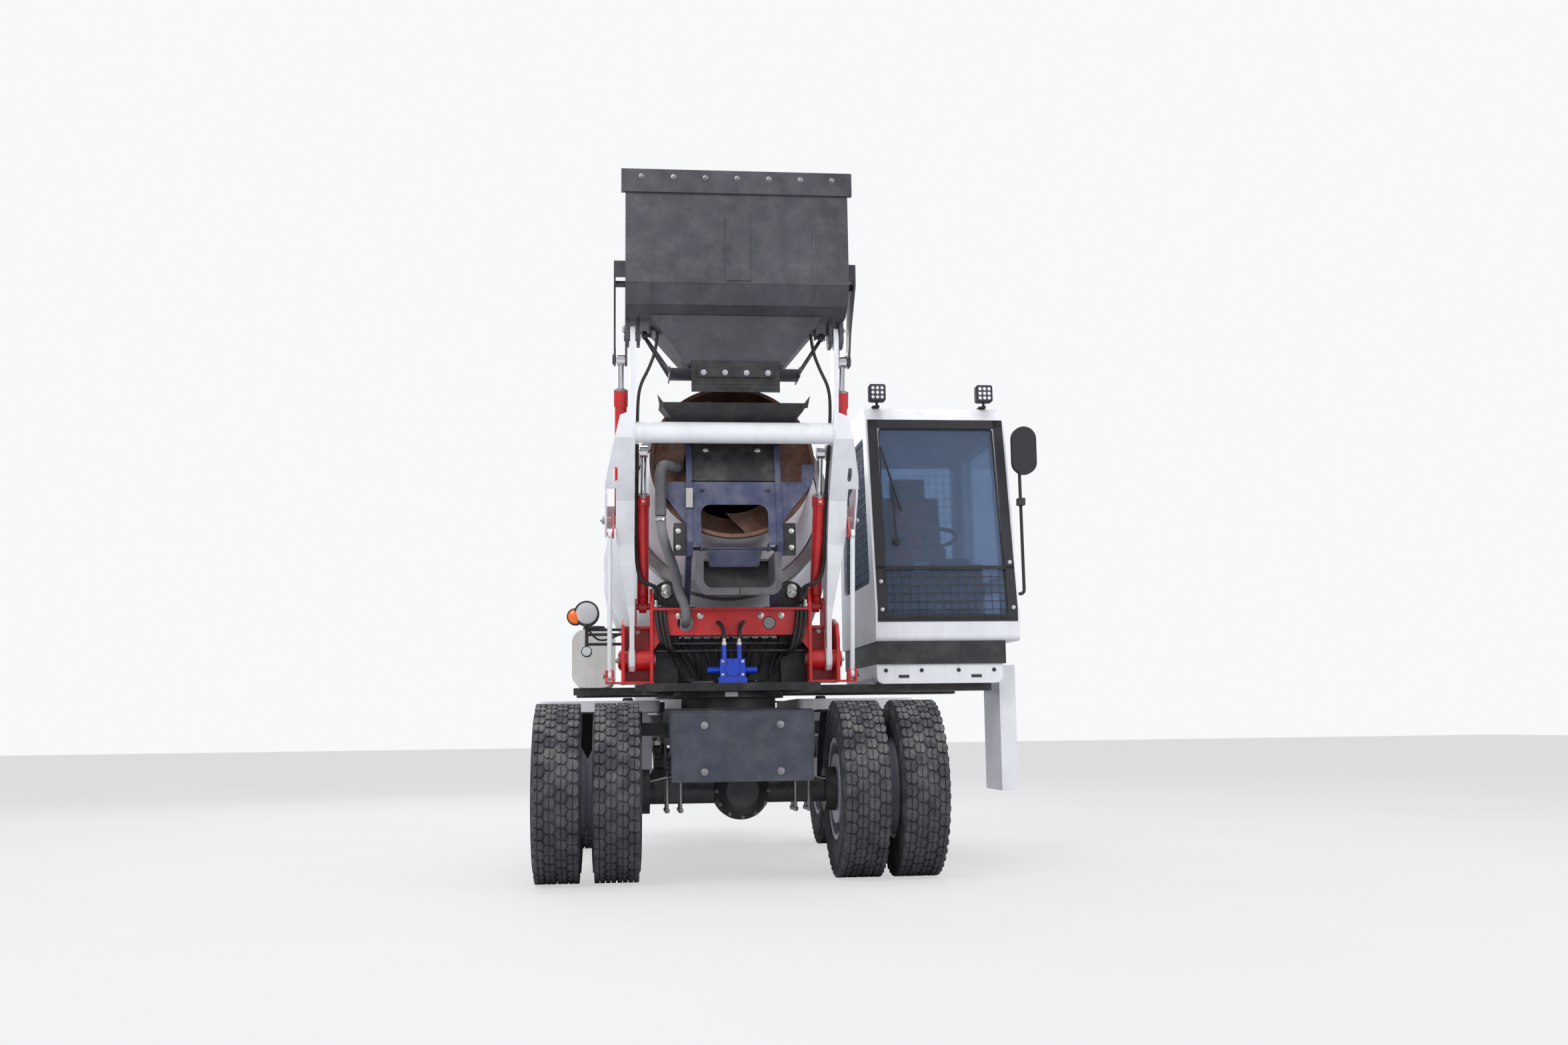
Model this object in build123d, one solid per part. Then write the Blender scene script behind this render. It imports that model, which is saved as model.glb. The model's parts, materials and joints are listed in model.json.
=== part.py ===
from build123d import *
from math import atan2, cos, degrees, hypot, pi, radians, sin, sqrt
import os

# Self-loading concrete mixer. Millimetres, +Z up, +X to the cab's side, the loading bucket and the
# drum's mouth face -Y. Places are first given from the middle of the front axle, with heights from
# the ground under tyres of 525, and the whole machine is moved at the end so that the origin is on
# the ground under the middle of its box.

# Wheels: front twins on a fixed drive axle, single rear wheels on a steered axle
tyre_radius = 525.0
tyre_width = 285.0
bead_radius = 286.0
rim_width = 230.0
rim_wall = 12.0
seat_gap = 0.3
twin_spacing = 345.0
front_inner_x = 713.0
front_outer_x = front_inner_x + twin_spacing
rear_wheel_x = 950.0
rear_axle_y = 2700.0
axle_z = 525.0
ground_z = axle_z - tyre_radius
kingpin_x = 742.0

# Mixing drum: places along its axis are measured from the mouth
mouth_y = 150.0
mouth_z = 2540.0
drum_tilt = 15.0
mouth_radius = 500.0
drum_wall = 10.0
drum_radius = 800.0
ring_place = 650.0
drum_ring_radius = 680.0
drum_length = 2900.0
drum_end_radius = 430.0
drum_end_y = mouth_y + drum_length * cos(radians(drum_tilt))
drum_end_z = mouth_z - drum_length * sin(radians(drum_tilt))

# Rear end: the drum's stand on the tail beams, then the hood over the engine
stand_set_back = 58.815
tail_overhang = 230.0
hood_clearance = 160.0
hood_length = 930.0
rail_overhang = 20.0
stand_y = drum_end_y + stand_set_back
tail_rear = stand_y + tail_overhang
hood_front = tail_rear + hood_clearance
hood_rear = hood_front + hood_length
chassis_rear = hood_rear + rail_overhang

# Chassis
rail_x = 380.0
rail_width = 70.0
rail_top = 1000.0
rail_height = 200.0
chassis_front = -372.0
box_front = -450.0
box_half_width = 405.0
box_bottom = 590.0
box_top = 990.0
spring_x = 390.0
spring_width = 80.0
spring_leaf = 13.0

# Turning upper structure
slew_y = 670.0
pedestal_radius = 302.0
ring_radius = 353.0
ring_top = 1120.0
deck_thickness = 50.0
deck_top = ring_top + deck_thickness
deck_front = 250.0
deck_rear = 1300.0
deck_half_width = 545.0
tail_half_width = 400.0
tail_inner = 250.0
tail_height = 90.0

# Loader arms, seen from the side as (y, z)
arm_pivot = (450.0, 1320.0)
bucket_pivot = (-100.0, 3260.0)
arm_inner_x = 605.0
arm_web = 30.0
arm_outer_x = arm_inner_x + arm_web
rocker_pivot = (335.0, 2190.0)
link_offset = (-120.0, -100.0)
cross_tube_place = (-45.0, 2680.0)
cross_tube_radius = 65.0
lift_foot = (500.0, 1660.0)
lift_head = (130.0, 2590.0)
lift_x = 550.0
lift_radius = 36.0
tilt_x = 690.0
tilt_radius = 38.0
tilt_head = (80.0, 3160.0)
link_x = 757.0
link_radius = 15.0

# Towers that carry the arms
tower_inner_x = 488.0
tower_outer_x = 665.0
tower_plate = 20.0
tower_front = 350.0
tower_rear = 580.0
tower_top = 1765.0
beam_bottom = 1470.0
beam_top = 1640.0

# Cab
cab_inner = 990.0
cab_outer = 1965.0
cab_front = 800.0
cab_rear = 2350.0
cab_floor = 1446.0
cab_roof = 3090.0
cab_wall = 60.0
screen_lean = 300.0
screen_bottom = 1600.0
screen_top = 2930.0
mirror_reach = 2130.0

# The machine's place: its box runs from the left twins to the mirror and from tyre to tail
machine_x = (mirror_reach - (front_outer_x + tyre_width / 2)) / 2
machine_y = (chassis_rear - tyre_radius) / 2


def block(x0, x1, y0, y1, z0, z1):
    """A block between two corners."""
    return Pos((x0 + x1) / 2, (y0 + y1) / 2, (z0 + z1) / 2) * Box(abs(x1 - x0), abs(y1 - y0), abs(z1 - z0))


def side_plate(points, x0, x1, corner=0.0):
    """A plate cut to an outline of (y, z) points, from x0 to x1."""
    line = FilletPolyline(*points, radius=corner, close=True) if corner else Polyline(*points, close=True)
    return extrude(Plane.YZ.offset(x0) * make_face(line), amount=x1 - x0)


def front_plate(points, y0, y1, corner=0.0):
    """A plate cut to an outline of (x, z) points, from y0 to y1."""
    line = FilletPolyline(*points, radius=corner, close=True) if corner else Polyline(*points, close=True)
    plane = Plane(origin=(0, y0, 0), x_dir=(1, 0, 0), z_dir=(0, -1, 0))
    return extrude(plane * make_face(line), amount=y0 - y1)


def top_plate(points, z0, z1, corner=0.0):
    """A plate cut to an outline of (x, y) points, from z0 to z1."""
    line = FilletPolyline(*points, radius=corner, close=True) if corner else Polyline(*points, close=True)
    return extrude(Plane.XY.offset(z0) * make_face(line), amount=z1 - z0)


def bar(start, end, radius):
    """A round bar between two points."""
    run = Vector(*end) - Vector(*start)
    return extrude(Plane(origin=start, z_dir=run) * Circle(radius), amount=run.length)


def pipe(start, end, radius, wall):
    """A round pipe between two points."""
    run = Vector(*end) - Vector(*start)
    ring = Circle(radius) - Circle(radius - wall)
    return extrude(Plane(origin=start, z_dir=run) * ring, amount=run.length)


def pin(x0, x1, place, radius):
    """A pin along X at a (y, z) place."""
    return bar((x0, *place), (x1, *place), radius)


def bent_bar(points, radius, bend):
    """A round bar along straight runs joined by arcs."""
    path = FilletPolyline(*points, radius=bend)
    start = Plane(origin=path @ 0, z_dir=path % 0)
    return sweep(start * Circle(radius), path=path)


def turned_x(points):
    """A solid turned about X from (x, radius) points."""
    return revolve(make_face(Polyline(*points, close=True)), Axis.X)


def mirrored(*shapes):
    """The shapes and their mirror images across the machine's middle."""
    out = []
    for shape in shapes:
        out += [shape, mirror(shape, about=Plane.YZ)]
    return out


def step(a, b, share):
    """The (y, z) place a share of the way from a to b."""
    return a[0] + (b[0] - a[0]) * share, a[1] + (b[1] - a[1]) * share


def ram(foot, head, x, radius, share, out):
    """A ram's barrel and rod between two pin places at x: out is how far the rod shows."""
    length = hypot(head[0] - foot[0], head[1] - foot[1])
    eye = radius * 1.15
    gland = step(foot, head, 1 - (out + eye) / length)
    collar = step(foot, head, 1 - (out + eye + share * radius) / length)
    base = step(foot, head, radius * 0.8 / length)
    bore = pin(x - radius * 2, x + radius * 2, foot, pin_radius + pin_play)
    barrel = bar((x, *base), (x, *gland), radius) + bar((x, *collar), (x, *gland), radius * 1.16)
    barrel += pin(x - eye_half, x + eye_half, foot, eye)
    rod_start = step(foot, head, 1 - (out * 1.6 + eye) / length)
    tunnel = bar((x, *rod_start), (x, *head), radius * 0.5 + seat_gap)
    barrel = barrel - bore - tunnel
    rod = bar((x, *step(foot, head, 1 - (out * 1.55 + eye) / length)), (x, *head), radius * 0.5)
    rod += pin(x - eye_half, x + eye_half, head, eye * 0.9)
    rod += pin(x, x + eye_half + 3, head, pin_radius)
    return barrel, rod


pin_radius = 22.0
pin_play = 1.0
bucket_pin = 28.0
eye_half = 24.0
nodes = {}


# Tyres and rims
def tyre(x, y):
    """A road tyre, its tread ribs cut by three round grooves."""
    half = tyre_width / 2
    tread = half - 22
    outline = [
        (-rim_width / 2, bead_radius),
        (-rim_width / 2, bead_radius + 18),
        (-half, bead_radius + 105),
        (-half, tyre_radius - 80),
        (-tread, tyre_radius - 12),
        (-tread + 30, tyre_radius),
        (tread - 30, tyre_radius),
        (tread, tyre_radius - 12),
        (half, tyre_radius - 80),
        (half, bead_radius + 105),
        (rim_width / 2, bead_radius + 18),
        (rim_width / 2, bead_radius),
    ]
    ring = turned_x(outline)
    for groove_x in (-55, 0, 55):
        groove = Rectangle(12, 16)
        ring -= revolve(Pos(groove_x, tyre_radius - 4) * groove, Axis.X)
    return Pos(x, y, axle_z) * ring


def rim(x, y, disc_x, flip):
    """A rim's barrel and its dished disc, which meets the hub at disc_x, both measured from x."""
    outer = bead_radius - seat_gap
    inner = outer - rim_wall
    half = rim_width / 2
    lip = half + seat_gap
    barrel = [
        (-lip - 10, outer + 16),
        (-lip, outer + 16),
        (-lip, outer),
        (lip, outer),
        (lip, outer + 16),
        (lip + 10, outer + 16),
        (lip + 6, inner),
        (-lip - 6, inner),
    ]
    disc = [
        (disc_x - 40 * flip, inner + 2),
        (disc_x - 70 * flip, inner + 2),
        (disc_x - 14 * flip, 190),
        (disc_x - 14 * flip, 90),
        (disc_x, 90),
        (disc_x, 196),
    ]
    return Pos(x, y, axle_z) * (turned_x(barrel) + turned_x(disc))


front_tyres = [tyre(front_inner_x, 0), tyre(front_outer_x, 0)]
twin_middle = (front_inner_x + front_outer_x) / 2
half_spacing = twin_spacing / 2
front_rims = rim(front_inner_x, 0, half_spacing, 1) + rim(front_outer_x, 0, -half_spacing, -1)
hub_start = 590.5
hub_outline = [
    (hub_start, 0),
    (hub_start, 205),
    (twin_middle - 60, 205),
    (twin_middle - 50, 150),
    (twin_middle + 70, 140),
    (twin_middle + 90, 100),
    (twin_middle + 130, 92),
    (twin_middle + 150, 60),
    (twin_middle + 150, 0),
]
front_rims += Pos(0, 0, axle_z) * turned_x(hub_outline)
nodes["front_tyres_right"] = front_tyres
nodes["front_tyres_left"] = [mirror(t, about=Plane.YZ) for t in front_tyres]
nodes["front_rims_right"] = [front_rims]
nodes["front_rims_left"] = [mirror(front_rims, about=Plane.YZ)]

rear_hub_start = 822.0
rear_hub = [
    (rear_hub_start, 0),
    (rear_hub_start, 190),
    (rear_wheel_x - 20, 190),
    (rear_wheel_x, 140),
    (rear_wheel_x + 60, 120),
    (rear_wheel_x + 110, 90),
    (rear_wheel_x + 150, 78),
    (rear_wheel_x + 160, 0),
]
rear_rim = rim(rear_wheel_x, rear_axle_y, 70, 1) + Pos(0, rear_axle_y, axle_z) * turned_x(rear_hub)
rear_tyre = tyre(rear_wheel_x, rear_axle_y)
nodes["rear_tyre_right"] = [rear_tyre]
nodes["rear_tyre_left"] = [mirror(rear_tyre, about=Plane.YZ)]
nodes["rear_rim_right"] = [rear_rim]
nodes["rear_rim_left"] = [mirror(rear_rim, about=Plane.YZ)]

# Front drive axle: banjo housing with spring seats
axle_tube_radius = 75.0
pot_radius = 172.0
pot_x = 20.0
axle_end = hub_start - 0.5
pad_top = axle_z + 90.0
pad_half = 50.0
pot_outline = [
    (0, -165),
    (95, -165),
    (150, -110),
    (pot_radius, -40),
    (pot_radius, 40),
    (120, 130),
    (60, 230),
    (0, 230),
]
front_axle = pin(-axle_end, axle_end, (0, axle_z), axle_tube_radius)
front_axle += Pos(pot_x, 0, axle_z) * revolve(make_face(Polyline(*pot_outline, close=True)), Axis.Y)
for side in (-1, 1):
    x = side * spring_x
    front_axle += pin(side * (axle_end - 70), side * axle_end, (0, axle_z), 130)
    front_axle += block(x - pad_half, x + pad_half, -90, 90, axle_z - 60, pad_top)
nodes["front_axle"] = [front_axle]

# Rear steered axle: an I beam with king pins
king_radius = 42.0
king_half = 75.0
rear_pad_top = axle_z + 62.0
beam_end = kingpin_x - 30.0
rear_axle = block(-beam_end, beam_end, rear_axle_y - 60, rear_axle_y + 60, axle_z - 50, axle_z + 50)
for side in (-1, 1):
    x = side * spring_x
    web = side * 22
    flute = block(-beam_end + 90, beam_end - 90, web, side * 70, axle_z - 30, axle_z + 30)
    rear_axle -= Pos(0, rear_axle_y, 0) * flute
    rear_axle += Pos(side * kingpin_x, rear_axle_y, axle_z) * Cylinder(king_radius, 2 * king_half)
    pad_front = rear_axle_y - 90
    rear_axle += block(x - pad_half, x + pad_half, pad_front, pad_front + 180, axle_z - 50, rear_pad_top)
nodes["rear_axle"] = [rear_axle]

# Leaf springs on both axles, as one node of four packs
spring_leaves = [(310, 430), (270, 370), (210, 290), (150, 210)]  # reach to the front, reach to the rear
eye_radius = 24.0
front_eye_z = 750.0
rear_eye_z = 735.0


def spring_pack(x, y, pad, eye_z):
    """A pack of curved leaves on an axle's pad, with the eyes of its main leaf."""
    top = pad + len(spring_leaves) * spring_leaf
    pack = Part()
    for index, (fore, aft) in enumerate(spring_leaves):
        low = top - (index + 1) * spring_leaf
        rise = eye_z - top
        line = [
            (y - fore, low + rise * (fore / spring_leaves[0][0]) ** 2),
            (y - fore / 2, low + rise * (fore / spring_leaves[0][0] / 2) ** 2),
            (y - 80, low),
            (y + 80, low),
            (y + aft / 2, low + rise * (aft / spring_leaves[0][1] / 2) ** 2),
            (y + aft, low + rise * (aft / spring_leaves[0][1]) ** 2),
        ]
        back = [(py, pz + spring_leaf) for py, pz in reversed(line)]
        pack += side_plate(line + back, x - spring_width / 2, x + spring_width / 2)
    for reach in (-spring_leaves[0][0], spring_leaves[0][1]):
        pack += pin(x - spring_width / 2, x + spring_width / 2, (y + reach, eye_z), eye_radius)
    return pack


nodes["leaf_springs"] = [
    spring_pack(side * spring_x, y, pad, eye_z)
    for side in (-1, 1)
    for y, pad, eye_z in ((0, pad_top, front_eye_z), (rear_axle_y, rear_pad_top, rear_eye_z))
]

# Steering knuckles: two ears on the king pin, a stub axle and a steering arm, joined by a tie rod
knuckle_ear = 30.0
knuckle_gap = 0.3
knuckle_plate = 52.0
steer_arm = 170.0
arm_thickness = 24.0
tie_z = axle_z - king_half - knuckle_gap - knuckle_ear - 14


def knuckle(side):
    """The knuckle on one side, with its king pin at the beam's end."""
    x = side * kingpin_x
    outer = x + side * (knuckle_plate + 18)
    reach = king_half + knuckle_gap
    tall = reach + knuckle_ear
    inner = x + side * knuckle_plate
    body = block(inner, outer, rear_axle_y - 60, rear_axle_y + 60, axle_z - tall, axle_z + tall)
    for low in (axle_z + reach, axle_z - reach - knuckle_ear):
        middle = Pos(x, rear_axle_y, low + knuckle_ear / 2)
        body += middle * Cylinder(king_radius + 6, knuckle_ear)
        body += block(x, outer, rear_axle_y - 44, rear_axle_y + 44, low, low + knuckle_ear)
    body += pin(outer - side * 4, side * (rear_hub_start - 0.5), (rear_axle_y, axle_z), 60)
    low = axle_z - reach - knuckle_ear
    arm_end = rear_axle_y + steer_arm + 24
    body += block(x - side * 52, x - side * 4, rear_axle_y - 40, arm_end, low, low + arm_thickness)
    return body


nodes["knuckle_right"] = [knuckle(1)]
nodes["knuckle_left"] = [knuckle(-1)]
tie_end = kingpin_x - 28.0
tie_rod = pin(-tie_end, tie_end, (rear_axle_y + steer_arm, tie_z - 12), 16)
for side in (-1, 1):
    tie_rod += Pos(side * tie_end, rear_axle_y + steer_arm, tie_z - 7.3) * Cylinder(22, 42)
nodes["tie_rod"] = [tie_rod]

# Chassis: rails, cross members, spring hangers and the pedestal under the slewing ring
rail_inner = rail_x - rail_width / 2
rail_outer = rail_x + rail_width / 2
rail_bottom = rail_top - rail_height
rail_rear = chassis_rear - 90.0
rail_web = 12.0
cheek_wall = 12.0
cheek_gap = 0.5
frame = Part()
for side in (-1, 1):
    rail = block(side * rail_inner, side * rail_outer, chassis_front, rail_rear, rail_bottom, rail_top)
    channel = block(
        side * (rail_inner - 5),
        side * (rail_outer - rail_web),
        slew_y + pedestal_radius + 80,
        rail_rear - 20,
        rail_bottom + rail_web,
        rail_top - rail_web,
    )
    frame += rail - channel
    for y, eye_z in ((0, front_eye_z), (rear_axle_y, rear_eye_z)):
        for reach in (-spring_leaves[0][0], spring_leaves[0][1]):
            for face in (-1, 1):
                x = side * spring_x + face * (spring_width / 2 + cheek_gap + cheek_wall / 2)
                cheek = [
                    (y + reach - 60, rail_bottom + 40),
                    (y + reach - 60, rail_bottom + 1),
                    (y + reach - 30, eye_z - 35),
                    (y + reach + 30, eye_z - 35),
                    (y + reach + 60, rail_bottom + 1),
                    (y + reach + 60, rail_bottom + 40),
                ]
                frame += side_plate(cheek, x - cheek_wall / 2, x + cheek_wall / 2)
            cheek_outer = spring_x + spring_width / 2 + cheek_gap + cheek_wall
            frame += block(
                side * (rail_outer - 1),
                side * cheek_outer,
                y + reach - 60,
                y + reach + 60,
                rail_bottom + 1,
                rail_bottom + 40,
            )
cross_members = [
    (chassis_front, 40),
    (-60, 50),
    (1150, 90),
    (1900, 90),
    (2350, 70),
    (tail_rear - 140, 70),
    (chassis_rear - 220, 80),
]  # y, width
cross_half = rail_outer - rail_web + 1
for y, width in cross_members:
    frame += block(-cross_half, cross_half, y, y + width, rail_bottom + 20, rail_top - 20)
saddle_top = rail_top + 14.0
frame += block(-rail_outer, rail_outer, slew_y - 370, slew_y + 370, rail_top - 14, saddle_top)
pedestal_top = ring_top - 40.0
frame += Pos(0, slew_y, (saddle_top + pedestal_top) / 2) * Cylinder(pedestal_radius, pedestal_top - saddle_top)
nodes["chassis_frame"] = [frame]
# Front box: a folded cover over the rails' front ends
cover = block(-box_half_width, box_half_width, box_front, chassis_front - seat_gap, box_bottom, box_top)
cover = fillet(cover.edges().filter_by(Axis.Y), 22)
box_wall = 10.0
cover_inner = box_half_width - box_wall
cover_low = box_bottom + box_wall
cover -= block(-cover_inner, cover_inner, box_front + 12, chassis_front, cover_low, box_top - box_wall)
for side in (-1, 1):
    cover_rear = chassis_front - seat_gap
    shoe_low = box_bottom + 160
    cover += block(side * rail_inner, side * rail_outer, box_front + 6, cover_rear, shoe_low, box_top - 6)
box_bolt_x = 218.0
box_bolt_radius = 9.0
for x in (-box_bolt_x, box_bolt_x):
    for z in (646, 910):
        cover -= bar((x, box_front - 5, z), (x, box_front + 20, z), box_bolt_radius)
nodes["front_box"] = [cover]

# Slewing ring: the fixed race on the pedestal, and the turning one under the deck
race_split = ring_top - 20.0
race_gap = 0.5
fixed_race = Pos(0, slew_y, (pedestal_top + race_split) / 2) * Cylinder(ring_radius, race_split - pedestal_top)
nodes["slew_ring_fixed"] = [fixed_race]
turning_low = race_split + race_gap
turning_race = Pos(0, slew_y, (turning_low + ring_top) / 2) * Cylinder(ring_radius - 6, ring_top - turning_low)

# Side tanks: white decks over a fuel tank and an oil tank behind the front wheels
tank_inner = 440.0
tank_outer = 1195.0
tank_front = 640.0
tank_rear = 1960.0
deck_sheet_bottom = 1001.0
deck_sheet_top = 1072.0
tank_bottom = 560.0
tank_body_front = 1090.0
cap_x = 640.0
cap_y = 1000.0
tanks = []
caps = []
for side in (-1, 1):
    top = block(side * tank_inner, side * tank_outer, tank_front, tank_rear, deck_sheet_bottom, deck_sheet_top)
    top = fillet(top.edges().filter_by(Axis.Z), 40)
    body = block(
        side * (tank_inner + 40),
        side * (tank_outer - 30),
        tank_body_front,
        tank_rear - 20,
        tank_bottom,
        deck_sheet_bottom + 5,
    )
    body = fillet(body.edges().filter_by(Axis.Y), 70)
    tank = top + body
    for y in (tank_body_front + 120, tank_rear - 200):
        rail_face = side * (rail_outer + seat_gap)
        tank += block(rail_face, side * (tank_inner + 60), y, y + 80, rail_bottom + 30, rail_top - 20)
    tanks.append(tank)
    cap = Cylinder(35, 18) + Pos(0, 0, 11) * Cylinder(30, 8)
    caps.append(Pos(side * cap_x, cap_y, deck_sheet_top + 9.3) * cap)
nodes["side_tanks"] = tanks
nodes["tank_caps"] = caps

# Mudguards: an arched sheet behind each front pair, a flat one with lips over each rear wheel
guard_wall = 8.0
guard_clearance = 54.0
guard_radius = tyre_radius + guard_clearance + guard_wall
guard_inner = 556.0
guard_outer = 1205.0
guard_low = 420.0
shelf_top = deck_sheet_bottom - seat_gap
shelf_bottom = shelf_top - 13.7
shelf_front = sqrt((guard_radius - guard_wall) ** 2 - (shelf_bottom - axle_z) ** 2) - 4
guard_foot_z = 890.0
guard_foot_y = sqrt(guard_radius**2 - (guard_foot_z - axle_z) ** 2) + 7
guards = []
for side in (-1, 1):
    ring = Circle(guard_radius) - Circle(guard_radius - guard_wall)
    sheet = Plane.YZ.offset(side * guard_inner) * ring
    sheet = Pos(0, 0, axle_z) * extrude(sheet, amount=side * (guard_outer - guard_inner))
    sheet = sheet & block(
        side * guard_inner, side * guard_outer, 40, guard_radius + 1, guard_low, shelf_bottom + 6
    )
    sheet += block(
        side * guard_inner, side * guard_outer, shelf_front, tank_front + 60, shelf_bottom, shelf_top
    )
    sheet += block(
        side * (rail_outer + seat_gap),
        side * (guard_inner + 2),
        guard_foot_y - 32,
        guard_foot_y + 33,
        guard_foot_z - 40,
        guard_foot_z + 40,
    )
    guards.append(sheet)
rear_clearance = 28.0
rear_guard_low = axle_z + tyre_radius + rear_clearance
strut_top = ring_top - 30.0
strut_low = strut_top - 12.0
for side in (-1, 1):
    guard_in = side * (rear_wheel_x - 150)
    strut_front = rear_axle_y - 40
    strut_rear = rear_axle_y + 40
    guard_top = rear_guard_low + 12
    guard_out = side * (rear_wheel_x + 150)
    sheet = block(guard_in, guard_out, rear_axle_y - 470, rear_axle_y + 470, rear_guard_low, guard_top)
    web_end = guard_in + side * 6
    web_low = min(strut_low, rear_guard_low)
    sheet += block(guard_in, web_end, strut_front, strut_rear, web_low, max(strut_top, guard_top))
    sheet += block(side * rail_inner, web_end, strut_front, strut_rear, strut_low, strut_top)
    foot = side * (rail_outer - 10)
    sheet += block(side * rail_inner, foot, strut_front, strut_rear, rail_top + seat_gap, strut_low + 6)
    guards.append(sheet)
nodes["mudguards"] = guards

# Engine: a plain block, its housing with cooling grilles, and the lid over it
hood_half = 560.0
hood_split = 1500.0
hood_top = 1860.0
hood_wall = 24.0
lid_gap = 6.0
engine_half = 290.0
engine_front = hood_front + 80.0
engine_rear = hood_rear - 250.0
engine = block(-engine_half, engine_half, engine_front, engine_rear, 830, 1440)
engine = fillet(engine.edges().filter_by(Axis.Y), 40)
for side in (-1, 1):
    for y in (engine_front + 80, engine_rear - 140):
        foot = side * (rail_outer - rail_web - seat_gap)
        engine += block(side * (engine_half - 10), foot, y, y + 70, 890, 950)
nodes["engine_block"] = [engine]
housing = block(-hood_half, hood_half, hood_front, hood_rear, rail_top + seat_gap, hood_split)
hood_inner = hood_half - hood_wall
housing -= block(-hood_inner, hood_inner, hood_front + hood_wall, hood_rear - hood_wall, 900, hood_split + 1)
for side in (-1, 1):
    skirt_in = side * (rail_outer + seat_gap)
    skirt_out = side * (hood_half - 5)
    housing += block(skirt_in, skirt_out, hood_front + 60, hood_rear, rail_bottom, rail_top + 30)
rear_panel = 69.5
housing += block(-hood_half, hood_half, hood_rear - rear_panel, hood_rear, rail_bottom - 60, rail_top + 30)
slot_pitch = 44.0
slot_height = 22.0
slot_front = hood_front + 520
for row in range(9):
    z = rail_top + 70 + row * slot_pitch
    housing -= block(-hood_half + 90, hood_half - 90, hood_rear - 30, hood_rear + 1, z, z + slot_height)
    housing -= block(-hood_half - 1, hood_half + 1, slot_front, hood_rear - 120, z, z + slot_height)
nodes["engine_housing"] = [housing]
lid_profile = [
    (hood_front, hood_split + lid_gap),
    (hood_front, hood_top - 190),
    (hood_front + 200, hood_top),
    (hood_rear - 160, hood_top),
    (hood_rear, hood_top - 120),
    (hood_rear, hood_split + lid_gap),
]
lid = side_plate(lid_profile, -hood_half, hood_half)
lid = fillet(lid.edges().filter_by(Axis.X).sort_by(Axis.Z)[-4:], 60)
inner_profile = [
    (hood_front + hood_wall, hood_split),
    (hood_front + hood_wall, hood_top - 200 - hood_wall / 2),
    (hood_front + 200 + hood_wall / 2, hood_top - hood_wall),
    (hood_rear - 170, hood_top - hood_wall),
    (hood_rear - hood_wall, hood_top - 130 - hood_wall / 2),
    (hood_rear - hood_wall, hood_split),
]
lid -= side_plate(inner_profile, -hood_half + hood_wall, hood_half - hood_wall)
for row in range(4):
    z = hood_split + 60 + row * slot_pitch
    lid -= block(-hood_half - 1, hood_half + 1, slot_front, hood_rear - 200, z, z + slot_height)
hinge_place = (hood_rear + 11.0, hood_split + lid_gap / 2)
hinge_radius = 9.0
for x in (-380, 320):
    lid += pin(x, x + 60, hinge_place, hinge_radius)
    lid += block(x, x + 60, hood_rear - 2, hinge_place[0], hood_split + lid_gap, hood_split + 16)
    housing += pin(x + 60.3, x + 120, hinge_place, hinge_radius)
    housing += block(x + 60.3, x + 120, hood_rear - 2, hinge_place[0], hood_split - 10, hood_split)
nodes["engine_housing"] = [housing]
nodes["engine_lid"] = [lid]

# Deck of the turning upper structure: plate, tail beams, side beams and locker under the cab
deck = block(-deck_half_width, deck_half_width, deck_front, deck_rear, ring_top, deck_top)
deck += block(-600, -deck_half_width + 5, deck_front + 20, deck_front + 160, ring_top + 8, deck_top - 8)
for side in (-1, 1):
    beam_low = side * tail_inner
    deck += block(beam_low, side * tail_half_width, deck_rear - 60, tail_rear, ring_top, ring_top + tail_height)
for y in (1750, 2500, tail_rear - 90):
    deck += block(-tail_inner - 5, tail_inner + 5, y, y + 90, ring_top, ring_top + tail_height - 10)
side_beam_top = 1168.0
locker_inner = 1000.0
locker_outer = 1850.0
for y in (930, 2080):
    start = tail_inner + 5 if y > deck_rear else 500
    deck += block(start, locker_outer - 60, y, y + 150, ring_top, side_beam_top)
side_rail_x = -1000.0
for y in (1180, 2080):
    deck += block(-tail_half_width if y > deck_rear else -500, side_rail_x, y, y + 100, ring_top, side_beam_top)
nodes["deck"] = [deck, turning_race]

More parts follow.
